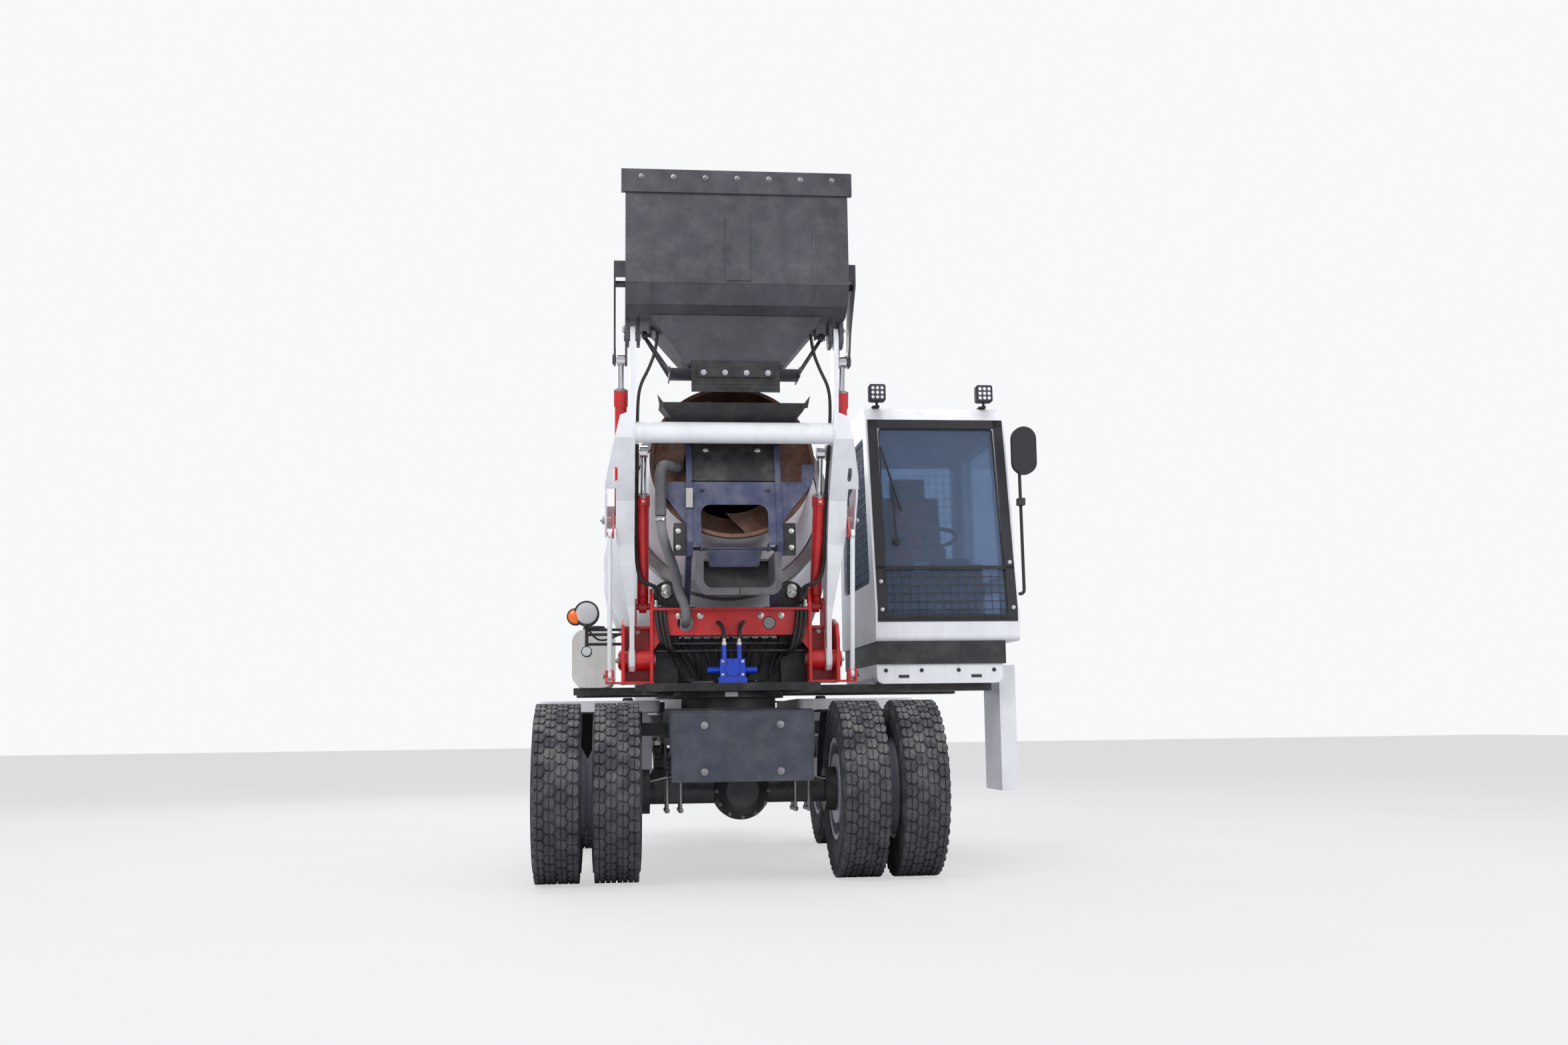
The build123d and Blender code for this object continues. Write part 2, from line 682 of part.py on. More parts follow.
# Towers and the beam between them
web_gap = 5.0
pivot_pin = 32.0
front_frame = Part()
tower_low = deck_top + seat_gap
plate_points = [
    (tower_front, tower_low),
    (tower_front, tower_top - 90),
    (tower_front + 60, tower_top),
    (tower_rear - 20, tower_top),
    (tower_rear, tower_top - 60),
    (tower_rear, tower_low),
]
outer_points = [
    (tower_front, tower_low),
    (tower_front, beam_bottom - 20),
    (tower_front + 50, beam_top - 100),
    (tower_rear - 10, beam_top - 60),
    (tower_rear + 60, tower_low + 110),
    (tower_rear + 60, tower_low),
]
link_foot = (arm_pivot[0] + link_offset[0], arm_pivot[1] + link_offset[1])
lug = 12.0
foot_pin = 20.0
for side in (-1, 1):
    tower = side_plate(plate_points, side * tower_inner_x, side * (tower_inner_x + tower_plate))
    tower += side_plate(outer_points, side * tower_outer_x, side * (tower_outer_x + tower_plate))
    inner_face = side * tower_inner_x
    outer_face = side * (tower_outer_x + tower_plate)
    tower += block(inner_face, outer_face, tower_front, tower_rear, tower_low, tower_low + 14)
    tower += block(inner_face, outer_face, tower_rear - 16, tower_rear, tower_low, 1540)
    tower += pin(inner_face, outer_face, arm_pivot, pivot_pin)
    tower += pin(side * (tower_inner_x - 10), side * (arm_inner_x - web_gap), arm_pivot, 62)
    tower += pin(side * (arm_outer_x + web_gap), side * (tower_outer_x + tower_plate + 12), arm_pivot, 62)
    lift_lug = [
        (lift_foot[0] - 48, lift_foot[1] + 48),
        (lift_foot[0] + 48, lift_foot[1] + 48),
        (lift_foot[0] + 78, 1530),
        (lift_foot[0] - 70, 1530),
    ]
    lug_x = lift_x + lift_radius + 2.5
    tower += side_plate(lift_lug, side * lug_x, side * (lug_x + lug - 2))
    tower += block(inner_face, side * (lug_x + lug - 2), lift_foot[0] - 40, tower_rear - 2, 1518, 1532)
    tower += pin(side * tower_inner_x, side * (lug_x + lug - 2), lift_foot, pin_radius)
    for x in (link_x - 27, link_x + 15):
        ear = [
            (link_foot[0] - 34, link_foot[1] + 34),
            (link_foot[0] + 40, link_foot[1] + 34),
            (link_foot[0] + 90, tower_low),
            (link_foot[0] - 34, tower_low),
        ]
        tower += side_plate(ear, side * x, side * (x + lug))
    ear_front = link_foot[0] - 20
    ear_end = side * (link_x + 27)
    tower += block(side * tower_outer_x, ear_end, ear_front, ear_front + 110, tower_low, tower_low + lug)
    tower += pin(side * (link_x - 27), side * (link_x + 33), link_foot, foot_pin - 8)
    front_frame += tower
beam_front = tower_front + 20.0
beam_rear = beam_front + 130.0
beam_wall = 14.0
beam_half = tower_inner_x + 2.0
beam = block(-beam_half, beam_half, beam_front, beam_front + beam_wall, beam_bottom, beam_top)
beam += block(-beam_half, beam_half, beam_front - 30, beam_rear, beam_top - beam_wall, beam_top)
beam += block(-beam_half, beam_half, beam_front, beam_rear, beam_bottom, beam_bottom + beam_wall)
gusset_width = 75.0
gusset_drop = 95.0
for side in (-1, 1):
    corner = [
        (side * beam_half, beam_bottom + 2),
        (side * (beam_half - gusset_width), beam_bottom + 2),
        (side * beam_half, beam_bottom - gusset_drop),
    ]
    beam += front_plate(corner, beam_front, beam_front + beam_wall)
beam_holes = [(-285.0, 50.0), (240.0, 38.0)]  # x, radius
hole_z = beam_top - 95.0
for x, radius in beam_holes:
    beam -= bar((x, beam_front - 5, hole_z), (x, beam_front + 30, hole_z), radius)
front_frame += beam
nodes["front_frame"] = [front_frame]

# Arms, seen from the side: outline from the pivot up the front and down the rear
arm_outline = [
    (372, 1280),
    (345, 1650),
    (278, 1900),
    (266, 2030),
    (165, 2290),
    (-95, 2640),
    (-168, 3240),
    (-150, 3320),
    (-50, 3320),
    (-30, 3240),
    (95, 2760),
    (425, 2330),
    (510, 2030),
    (522, 1650),
    (528, 1280),
    (500, 1245),
    (400, 1245),
]
saddle_outer = 787.0
boss_radius = 70.0
window_top = 2360.0
gusset = [
    (arm_outer_x - 5, 1540),
    (arm_outer_x + 85, 2080),
    (arm_outer_x + 85, window_top),
    (saddle_outer - 1, window_top),
    (saddle_outer - 12, 2440),
    (arm_outer_x + 60, 2775),
    (arm_outer_x - 5, 2800),
]
strip_thickness = 12.0
front_strip = [(351, 1540), (345, 1650), (278, 1900), (266, 2030), (165, 2290), (-95, 2640), (-119, 2830)]
cage_plate = 12.0
arms = Part()
for side in (-1, 1):
    web = side_plate(arm_outline, side * arm_inner_x, side * arm_outer_x, corner=22)
    strip = front_strip + [(y + strip_thickness, z + 3) for y, z in reversed(front_strip)]
    flange = side_plate(strip, side * (arm_outer_x - 6), side * (saddle_outer + 5))
    flange = flange & front_plate([(side * x, z) for x, z in gusset], -300, 600)
    slot = extrude(SlotOverall(78, 26, rotation=90), amount=300, both=True)
    flange -= Pos(side * 722, 0, window_top + 80) * Rot(90, 0, 0) * slot
    cage = [
        (152, window_top - 30),
        (152, window_top + 60),
        (440, window_top - 10),
        (455, 2140),
        (405, 2090),
        (300, 2120),
    ]
    side_wall = side_plate(cage, side * (saddle_outer - cage_plate), side * saddle_outer)
    arm = web + flange + side_wall
    arm += block(side * (arm_outer_x - 2), side * saddle_outer, 420, 450, 2150, 2290)
    arm += pin(side * (arm_outer_x - 2), side * (saddle_outer + 8), rocker_pivot, pin_radius)
    arm += pin(side * (arm_outer_x - 2), side * (tilt_x - tilt_radius - 6), rocker_pivot, 45)
    arm += pin(side * (lift_x + eye_half + 8), side * (arm_inner_x + 2), lift_head, 50)
    arm += pin(side * (arm_inner_x - 2), side * (arm_outer_x + 2), arm_pivot, boss_radius - 2)
    arm -= pin(side * 500, side * 700, arm_pivot, pivot_pin + pin_play)
    arm += pin(side * 570, side * 664, bucket_pivot, bucket_pin)
    arms += arm
arms += pin(-arm_inner_x - 4, arm_inner_x + 4, cross_tube_place, cross_tube_radius)
nodes["arms"] = [arms]

# Rockers on the arms, and the links that hold them level
link_head = (rocker_pivot[0] + link_offset[0], rocker_pivot[1] + link_offset[1])
rocker_plate = 10.0
rocker_x = tilt_x + tilt_radius + 3.0
rockers = []
links = []
for side in (-1, 1):
    lever = [
        (rocker_pivot[0] - 38, rocker_pivot[1] + 38),
        (rocker_pivot[0] + 48, rocker_pivot[1] + 30),
        (rocker_pivot[0] + 30, rocker_pivot[1] - 44),
        (link_head[0] + 20, link_head[1] - 28),
        (link_head[0] - 26, link_head[1] - 14),
        (link_head[0] - 20, link_head[1] + 26),
    ]
    rocker = side_plate(lever, side * rocker_x, side * (rocker_x + rocker_plate), corner=8)
    rocker += pin(side * rocker_x, side * (rocker_x + rocker_plate + 4), rocker_pivot, 38)
    rocker -= pin(side * 600, side * 800, rocker_pivot, pin_radius + pin_play)
    rocker += pin(side * rocker_x, side * (link_x + 17), link_head, foot_pin - 8)
    rockers.append(rocker)
    link = bar((side * link_x, *link_foot), (side * link_x, *link_head), link_radius)
    for place in (link_foot, link_head):
        link += pin(side * (link_x - 12), side * (link_x + 12), place, foot_pin + 8)
    for place in (link_foot, link_head):
        link -= pin(side * 600, side * 900, place, foot_pin - 8 + pin_play)
    links.append(link)
nodes["rockers"] = rockers
nodes["level_links"] = links

# Lift rams inside the arms, tilt rams outside them
lift_barrel, lift_rod = ram(lift_foot, lift_head, lift_x, lift_radius, 2.0, 235.0)
tilt_barrel, tilt_rod = ram(rocker_pivot, tilt_head, tilt_x, tilt_radius, 2.6, 150.0)
nodes["lift_barrels"] = mirrored(lift_barrel)
nodes["lift_rods"] = mirrored(lift_rod)
nodes["tilt_barrels"] = mirrored(tilt_barrel)
nodes["tilt_rods"] = mirrored(tilt_rod)
# Loading bucket, seen from the side: places are measured from its pivot, forward and up
bucket_wall = 12.0
bucket_half = 665.0
lip_half = 690.0
lip_top = 940.0
funnel_top = 520.0
funnel_low = 272.0
funnel_bottom = -215.0
shell_low = 92.0


def from_pivot(points):
    """Points of (forward, up) from the bucket's pivot as (y, z)."""
    return [(bucket_pivot[0] - forward, bucket_pivot[1] + up) for forward, up in points]


shell_outline = [
    (318, 905),
    (330, 250),
    (255, 140),
    (170, shell_low),
    (-300, shell_low),
    (-395, 240),
    (-345, 560),
]
shell = side_plate(from_pivot(shell_outline), -bucket_half, bucket_half)
core_outline = [
    (305, 1000),
    (317, 254),
    (247, 150),
    (166, shell_low + 13),
    (-294, shell_low + 13),
    (-382, 242),
    (-333, 560),
    (-330, 800),
]
core = side_plate(from_pivot(core_outline), -bucket_half + bucket_wall, bucket_half - bucket_wall)
bucket = shell - core
mouth_line = [(360, 906), (250, 870), (-345, 560), (-500, 560), (-500, 1100), (360, 1100)]
bucket -= side_plate(from_pivot(mouth_line), -bucket_half - 35, bucket_half + 35)
lip = [(336, 800), (336, lip_top), (318, lip_top), (305, 895), (305, 800)]
bucket += side_plate(from_pivot(lip), -lip_half, lip_half)
floor_z = bucket_pivot[1] + shell_low
bucket -= block(
    -funnel_low,
    funnel_low,
    bucket_pivot[0] - 60,
    bucket_pivot[0] + 200,
    floor_z - 50,
    floor_z + 48,
)
hanger_foot = [(62, -30), (30, -62), (-30, -62), (-62, -30)]
for side in (-1, 1):
    hanger = side_plate(from_pivot([(70, 100), *hanger_foot, (-75, 100)]), side * 576, side * 596)
    hanger += side_plate(from_pivot([(70, 130), *hanger_foot, (-75, 130)]), side * 641, side * bucket_half)
    hanger -= pin(side * 500, side * 720, bucket_pivot, bucket_pin + pin_play)
    tail = (bucket_pivot[0] - tilt_head[0], tilt_head[1] - bucket_pivot[1])
    ear = [
        (150, 430),
        (150, 300),
        (-60, 60),
        (tail[0] + 40, tail[1] - 30),
        (tail[0] + 10, tail[1] - 44),
        (tail[0] - 26, tail[1] - 38),
        (tail[0] - 46, tail[1] + 6),
        (-150, 300),
        (40, 430),
    ]
    ear_inner = side * (tilt_x + eye_half + 8)
    ear_outer = side * (tilt_x + eye_half + 20)
    wall_inner = side * (bucket_half - 4)
    ears = side_plate(from_pivot(ear), ear_inner, ear_outer)
    ears += side_plate(from_pivot(ear[2:8]), side * (bucket_half - 14), side * bucket_half)
    ears += side_plate(
        from_pivot([(150, 430), (150, 330), (138, 330), (28, 418), (28, 430)]), wall_inner, ear_outer
    )
    stay = from_pivot([(60, 330), (-40, 330), (-40, 318), (60, 318)])
    ears += side_plate(stay, wall_inner, ear_inner + side * 2)
    ears += pin(ear_inner, ear_outer + side * 8, tilt_head, 32)
    bucket += hanger + ears
gate_pivot = (bucket_pivot[0] + 85.0, 3290.0)
gate_radius = 275.0
gate_wall = 8.0
gate_pin = 12.0
gate_half = 400.0
gate_arm_x = 545.0
gate_span = 30.0
gate_running_gap = 5.0
gate_lug_x = gate_arm_x - 42.0
gate_lug_wall = 12.0
funnel_join = bucket_pivot[1] + shell_low
funnel_end = bucket_pivot[1] + funnel_bottom
funnel_outer = [
    (-funnel_top, funnel_join),
    (funnel_top, funnel_join),
    (funnel_low, funnel_end),
    (-funnel_low, funnel_end),
]
front_line = [
    (168, shell_low + 3),
    (160, shell_low - 7),
    (42, funnel_bottom),
    (54, funnel_bottom - 4),
    (180, shell_low),
]
back_line = [
    (-296, shell_low + 3),
    (-212, funnel_bottom),
    (-224, funnel_bottom - 4),
    (-308, shell_low),
]
funnel_front = side_plate(from_pivot(front_line), -funnel_top, funnel_top)
funnel_back = side_plate(from_pivot(back_line), -funnel_top, funnel_top)
taper = front_plate(funnel_outer, -400, 400)
funnel = (funnel_front + funnel_back) & taper
for side in (-1, 1):
    edge = front_plate(
        [
            (side * funnel_top, funnel_join),
            (side * (funnel_top - 16), funnel_join),
            (side * (funnel_low - 14), funnel_end),
            (side * funnel_low, funnel_end),
        ],
        -400,
        400,
    )
    side_line = [(172, shell_low), (48, funnel_bottom - 2), (-218, funnel_bottom - 2), (-302, shell_low)]
    depth = side_plate(from_pivot(side_line), side * 200, side * (funnel_top + 40))
    funnel += edge & depth
sweep_half = gate_half + 200
sweep_space = block(-sweep_half, sweep_half, -260, 240, gate_pivot[1] - 390, gate_pivot[1] - 170)
sweep_space -= pin(-sweep_half, sweep_half, gate_pivot, gate_radius - gate_wall - gate_running_gap)
funnel -= sweep_space
flap_back = bucket_pivot[0] - 76.0
flap_half = 268.0
funnel += block(-flap_half, flap_half, flap_back + seat_gap, flap_back + 18, 3062, 3096)
bucket += funnel
for side in (-1, 1):
    lug_line = [
        (gate_pivot[0] - 34, funnel_join + 2),
        (gate_pivot[0] - 16, gate_pivot[1] - 14),
        (gate_pivot[0] + 16, gate_pivot[1] - 14),
        (gate_pivot[0] + 34, funnel_join + 2),
    ]
    gate_lug = side_plate(lug_line, side * gate_lug_x, side * (gate_lug_x + gate_lug_wall))
    gate_lug += pin(side * gate_lug_x, side * (gate_arm_x + 18), gate_pivot, gate_pin)
    bucket += gate_lug
nodes["bucket"] = [bucket]

# Rubber flap under its clamping bar, on the funnel's front
flap = block(-flap_half, flap_half, flap_back - 10, flap_back, 2906, 3092)
flap += block(-flap_half + 38, flap_half - 38, flap_back - 22, flap_back - 9, 2994, 3048)
nodes["bucket_flap"] = [flap]


def gate_arc(radius, half_width):
    """A sector of a round sheet under the gate's pivot."""
    ring = Circle(radius) - Circle(radius - gate_wall)
    reach = radius * 1.5
    spread = radians(gate_span)
    corner = (reach * sin(spread), -reach * cos(spread))
    wedge = make_face(Polyline((0, 0), (-corner[0], corner[1]), corner, close=True))
    sector = Plane.YZ.offset(-half_width) * (ring & wedge)
    return Pos(0, gate_pivot[0], gate_pivot[1]) * extrude(sector, amount=2 * half_width)


# Gate: a curved pan under the funnel, on arms from pivots beside it
gate = gate_arc(gate_radius, gate_half)
pan_low = gate_pivot[1] - gate_radius
for side in (-1, 1):
    high = (side * (gate_arm_x + 7), gate_pivot[0], gate_pivot[1])
    for y in (-70, 70):
        gate += bar((side * (gate_half - 14), gate_pivot[0] + y, pan_low + 20), high, 11)
    end_front = gate_pivot[0] - 125
    end_rear = gate_pivot[0] + 125
    end_inner = side * (gate_half - gate_wall)
    gate += block(end_inner, side * gate_half, end_front, end_rear, pan_low + 2, pan_low + 57)
    gate += pin(side * (gate_arm_x - 14), side * (gate_arm_x + 14), gate_pivot, 26)
    gate -= pin(side * (gate_arm_x - 45), side * (gate_arm_x + 55), gate_pivot, gate_pin + pin_play)
nodes["gate"] = [gate]

# Drum: a thin shell turned about its axis, with the roller ring, and the mixing fins inside
drum_way = (0, cos(radians(drum_tilt)), -sin(radians(drum_tilt)))
drum_plane = Plane(origin=(0, mouth_y, mouth_z), x_dir=(1, 0, 0), z_dir=drum_way)
drum_profile = [
    (0, mouth_radius),
    (360, mouth_radius + 20),
    (ring_place - 50, 600),
    (drum_length - 1050, drum_radius),
    (drum_length - 750, drum_radius),
    (drum_length, drum_end_radius),
]  # place, radius
outer_line = [(radius, place) for place, radius in drum_profile]
inner_line = [(radius - drum_wall, place) for place, radius in drum_profile[:-1]]
inner_line.append((drum_end_radius - drum_wall - 4, drum_length - drum_wall))
end_line = [(0, drum_length), (0, drum_length - drum_wall)]
shell_face = make_face(Polyline(*outer_line, *end_line, *reversed(inner_line), close=True))
drum_shell = revolve(Plane.XZ * shell_face, Axis.Z)
bead = Pos(0, 0, 12) * (Cylinder(mouth_radius + 14, 24) - Cylinder(mouth_radius - 5, 30))
band_slope = (drum_radius - 600) / (drum_length - 1000 - ring_place)
band_seat = 600 + (50 + 35) * band_slope + seat_gap
drum_shell = drum_shell + bead
ring_band = Pos(0, 0, ring_place) * (Cylinder(drum_ring_radius, 70) - Cylinder(band_seat, 80))
nodes["drum_ring"] = [drum_plane.location * ring_band]
fin_height = 190.0
fin_wall = mouth_radius - drum_wall
for start in (0, 180):
    for index in range(4):
        place = 40 + index * 90
        sector = Circle(fin_wall + place / 18 + 3) - Circle(fin_wall - fin_height)
        sector &= Rot(0, 0, start + index * 48) * Pos(400, 0) * Rectangle(800, 460)
        drum_shell += Pos(0, 0, place) * extrude(sector, amount=7)
nodes["drum"] = [drum_plane.location * drum_shell]

# Rollers under the drum's ring, and the drive at its rear end
ring_centre = (mouth_y + ring_place * drum_way[1], mouth_z + ring_place * drum_way[2])
roller_radius = 90.0
roller_angle = 30.6
supports = []
for side in (-1, 1):
    reach = drum_ring_radius + roller_radius + 0.5
    local = (side * reach * sin(radians(roller_angle)), reach * cos(radians(roller_angle)), ring_place)
    roller = Pos(local[0], local[1], ring_place) * Cylinder(roller_radius, 84)
    roller += Pos(local[0], local[1], ring_place) * Cylinder(34, 190)
    roller = drum_plane.location * roller
    x = local[0]
    y = ring_centre[0] - local[1] * sin(radians(drum_tilt))
    z = ring_centre[1] - local[1] * cos(radians(drum_tilt))
    stand_low = deck_top + seat_gap
    for offset in (-82, 70):
        cheek = front_plate(
            [
                (x - side * 85, z + 30),
                (x - side * 40, z + 75),
                (x + side * 40, z + 75),
                (x + side * 85, z + 30),
                (side * (tower_inner_x - 6), 1500),
                (side * (tower_inner_x - 6), stand_low),
                (side * 330, stand_low),
            ],
            y + offset,
            y + offset + 12,
        )
        roller += cheek
    roller += block(side * 330, side * (tower_inner_x - 6), y - 82, y + 82, stand_low, stand_low + 14)
    supports.append(roller)
drive_start = drum_length + 0.5
drive = Pos(0, 0, drive_start + 100) * Cylinder(190, 200) + Pos(0, 0, drive_start + 240) * Cylinder(110, 90)
drive = drum_plane.location * drive
tail_top = ring_top + tail_height
stand_low = tail_top + seat_gap
stand_top = drum_end_z + 160.6
stand_line = [(-230, stand_top), (230, stand_top), (tail_half_width, stand_low), (-tail_half_width, stand_low)]
stand = front_plate(stand_line, stand_y + 60, stand_y + 84)
stand += block(-tail_half_width, tail_half_width, stand_y, tail_rear - 10, stand_low, tail_top + 16)
rib_line = [
    (stand_y - 20, tail_top + 1),
    (stand_y + 60, stand_top - 100),
    (stand_y + 80, stand_top - 100),
    (tail_rear - 12, tail_top + 1),
]
for side in (-1, 1):
    stand += side_plate(rib_line, side * 240, side * 256)
supports.append(drive + stand)
nodes["drum_supports"] = supports

# Feed hopper into the mouth: a flared tray, its floor's tongue, and the plate under its front
tray_top = 2870.0
tray_low = 2640.0
tray_wall = 6.0
tray_half = 456.0
tongue_half = 255.0
upright_inner = 256.0
upright_outer = 292.0


def lean(z, offset):
    """The y of a line parallel to the drum's mouth at a height z, offset from the mouth's plane."""
    return mouth_y + (z - mouth_z) * sin(radians(drum_tilt)) / cos(radians(drum_tilt)) + offset


def leaning_plate(points, offset, thickness):
    """A plate parallel to the drum's mouth, cut to an outline of (x, z) points."""
    slab = [(lean(1800, offset), 1800), (lean(2900, offset), 2900), (lean(2900, offset + thickness), 2900)]
    slab.append((lean(1800, offset + thickness), 1800))
    return side_plate(slab, -700, 700) & front_plate(points, -500, 700)


tray = loft(
    [
        Plane.XY.offset(tray_low) * Pos(0, 130) * Rectangle(540, 90),
        Plane.XY.offset(tray_top) * Pos(0, 87) * Rectangle(2 * tray_half, 255),
    ]
)
tray_core = loft(
    [
        Plane.XY.offset(tray_low - 1) * Pos(0, 156) * Rectangle(540 - 2 * tray_wall, 130),
        Plane.XY.offset(tray_top + 1) * Pos(0, 118) * Rectangle(2 * (tray_half - tray_wall), 305),
    ]
)
tray = tray - tray_core
tray += block(-upright_outer, upright_outer, 100, 172, 2632.3, tray_low + 2)
tongue = [(160, 2632.3), (160, 2642), (176, 2641), (320, 2572), (316, 2564), (172, 2632.3)]
tray += side_plate(tongue, -tongue_half, tongue_half)
for side in (-1, 1):
    tongue_wall = [(160, 2636), (160, 2700), (316, 2620), (316, 2568)]
    tray += side_plate(tongue_wall, side * (tongue_half - tray_wall), side * tongue_half)
    corner = [
        (side * 410, tray_top - 30),
        (side * (tray_half + 14), tray_top + 48),
        (side * (tray_half - 2), tray_top - 30),
    ]
    tray += front_plate(corner, -39, -33)
apron_half = upright_inner - 0.5
apron = [(-apron_half, 2402), (apron_half, 2402), (apron_half, 2636), (-apron_half, 2636)]
tray += leaning_plate(apron, -45, 8)
nodes["feed_hopper"] = [tray]

# Discharge hopper: leaning uprights that also carry the feed hopper, a front sheet and two wings
upright_low = 2010.0
upright_top = 2632.0
upright = [
    (lean(upright_low, -57), upright_low),
    (lean(upright_top, -57), upright_top),
    (lean(upright_top, -16), upright_top),
    (lean(upright_low, -16), upright_low),
]
chute_top = 1918.0
chute_clearance = 8.0
leg_low = chute_top + chute_clearance
beam_seat = beam_top + seat_gap
leg = [
    (lean(upright_low, -57), upright_low + 2),
    (lean(upright_low, -16), upright_low + 2),
    (160, 1996),
    (beam_rear - 10, beam_top + 80),
    (beam_rear - 10, beam_seat),
    (beam_rear - 70, beam_seat),
    (132, leg_low),
    (lean(upright_low, -57) + 30, leg_low),
]
discharge = Part()
for side in (-1, 1):
    discharge += side_plate(upright, side * upright_inner, side * upright_outer)
    discharge += side_plate(leg, side * upright_inner, side * upright_outer)
    foot_inner = side * (upright_inner - 40)
    foot_outer = side * (upright_outer + 30)
    discharge += block(foot_inner, foot_outer, beam_rear - 72, beam_rear - 8, beam_seat, beam_top + 12)
bridge_low = 1992.0
sheet_half = upright_inner + 2.0
wing_inner = upright_outer - 4.0
wing_top = 2394.0
front_sheet = [
    (-sheet_half, wing_top),
    (sheet_half, wing_top),
    (sheet_half, bridge_low),
    (-sheet_half, bridge_low),
]
outlet_half = 205.0
outlet = front_plate(
    [(-outlet_half, 2247), (outlet_half, 2247), (outlet_half, 1900), (-outlet_half, 1900)], -300, 300
)
outlet = fillet(outlet.edges().filter_by(Axis.Y).sort_by(Axis.Z)[-2:], 60)
discharge += leaning_plate(front_sheet, -49, 8) - outlet
left_wing = [(-488, wing_top), (-wing_inner, wing_top), (-wing_inner, 2113)]
right_wing = [
    (wing_inner, wing_top),
    (420, wing_top),
    (429, 2510),
    (502, 2510),
    (490, 2386),
    (315, 2166),
    (wing_inner, 2113),
]
for wing in (left_wing, right_wing):
    discharge += leaning_plate(wing, -45, 8)
chute_pivot_y = 112.0
bridge_wall = 14.0
bridge_bottom = bridge_low - bridge_wall
discharge += block(-upright_inner - 4, upright_inner + 4, 72, 152, bridge_bottom, bridge_low)
for side in (-1, 1):
    tab = side * (outlet_half + 6)
    discharge += block(side * outlet_half, tab, lean(bridge_low, -49), 76, bridge_low - 32, bridge_low + 14)
chute_pin = 22.0
pin_end = chute_top - 32.0
discharge += Pos(0, chute_pivot_y, (bridge_low + pin_end) / 2) * Cylinder(chute_pin, bridge_low - pin_end)
discharge += Pos(0, chute_pivot_y, pin_end + 6) * Cylinder(38, 12)
nodes["discharge_hopper"] = [discharge]

# Swinging chute: a U trough towards the front, hung under the hopper on an upright pin
chute_half = 218.0
chute_lip = 34.0
chute_depth = 219.0
chute_tip = -330.0
chute_root = 170.0
chute_wall = 8.0
chute_corner = 60.0
chute_floor = chute_top - chute_depth
trough = block(-chute_half, chute_half, chute_tip, chute_root, chute_floor, chute_top)
trough = fillet(trough.edges().filter_by(Axis.Y).sort_by(Axis.Z)[:2], chute_corner)
core_half = chute_half - chute_wall
trough_core = block(
    -core_half, core_half, chute_tip - 5, chute_root - chute_wall, chute_floor + chute_wall, chute_top + 5
)
trough_core = fillet(trough_core.edges().filter_by(Axis.Y).sort_by(Axis.Z)[:2], chute_corner - chute_wall)
lip_outer = chute_half + chute_lip
lip_low = chute_floor - chute_lip
lip_ring = block(-lip_outer, lip_outer, chute_tip, chute_tip + 40, lip_low, chute_top)
lip_ring = fillet(lip_ring.edges().filter_by(Axis.Y).sort_by(Axis.Z)[:2], 70)
trough = trough + lip_ring - trough_core
back_y = chute_pivot_y - 48
hanger = block(-chute_half + 4, chute_half - 4, back_y, chute_pivot_y + 48, chute_top - 14, chute_top)
boss_top = bridge_bottom - 0.5
hanger += Pos(0, chute_pivot_y, (chute_top + boss_top) / 2) * Cylinder(30, boss_top - chute_top)
hanger -= Pos(0, chute_pivot_y, chute_top) * Cylinder(chute_pin + pin_play, 400)
back_top = bridge_bottom - 6
hanger += front_plate([(-175, back_top), (175, back_top), (150, 1868), (-150, 1868)], back_y, back_y + 6)
trough += hanger
nodes["swing_chute"] = [trough]

# Water pipe into the mouth and its hose down to the beam
water_x = -450.0
water_y = -5.0
pipe_end = 2175.0
pipe_run = [(water_x + 120, 150, 2490), (water_x, water_y, 2490), (water_x, water_y, pipe_end)]
water = bent_bar(pipe_run, 34, 60)
water += block(water_x - 12, water_x + 12, water_y + 20, lean(2334, -45) - 0.3, 2334, 2346)
hose_run = [
    (water_x, water_y, pipe_end - 1.8),
    (water_x + 2, water_y + 3, 2060),
    (-352, 200, 1850),
    (-335, 290, 1740),
    (beam_holes[0][0], 297, 1640),
    (beam_holes[0][0], 297, hole_z),
    (beam_holes[0][0], 415, hole_z),
]
nodes["water_pipe"] = [water]
nodes["water_hose"] = [bent_bar(hose_run, 31, 34)]

# Water tank on the far side of the deck
tank_x0, tank_x1 = -1010.0, -720.0
water_tank = block(tank_x0, tank_x1, 1150, 2250, side_beam_top + seat_gap, 1560)
water_tank = fillet(water_tank.edges().filter_by(Axis.Y), 90)
nodes["water_tank"] = [water_tank]

# Valve block for the upper hydraulics, on the deck's front edge
valve = block(-78, 78, 262, 352, deck_top + 30, deck_top + 148)
valve += bar((0, 250, deck_top + 84), (0, 366, deck_top + 84), 42)
valve += pin(-155, 155, (308, deck_top + 78), 20)
valve += block(-88, 88, 256, 300, deck_top + seat_gap, deck_top + 32)
for x in (-50, 44):
    valve += Pos(x, 300, deck_top + 190) * Cylinder(15, 90)
nodes["control_valve"] = [valve]

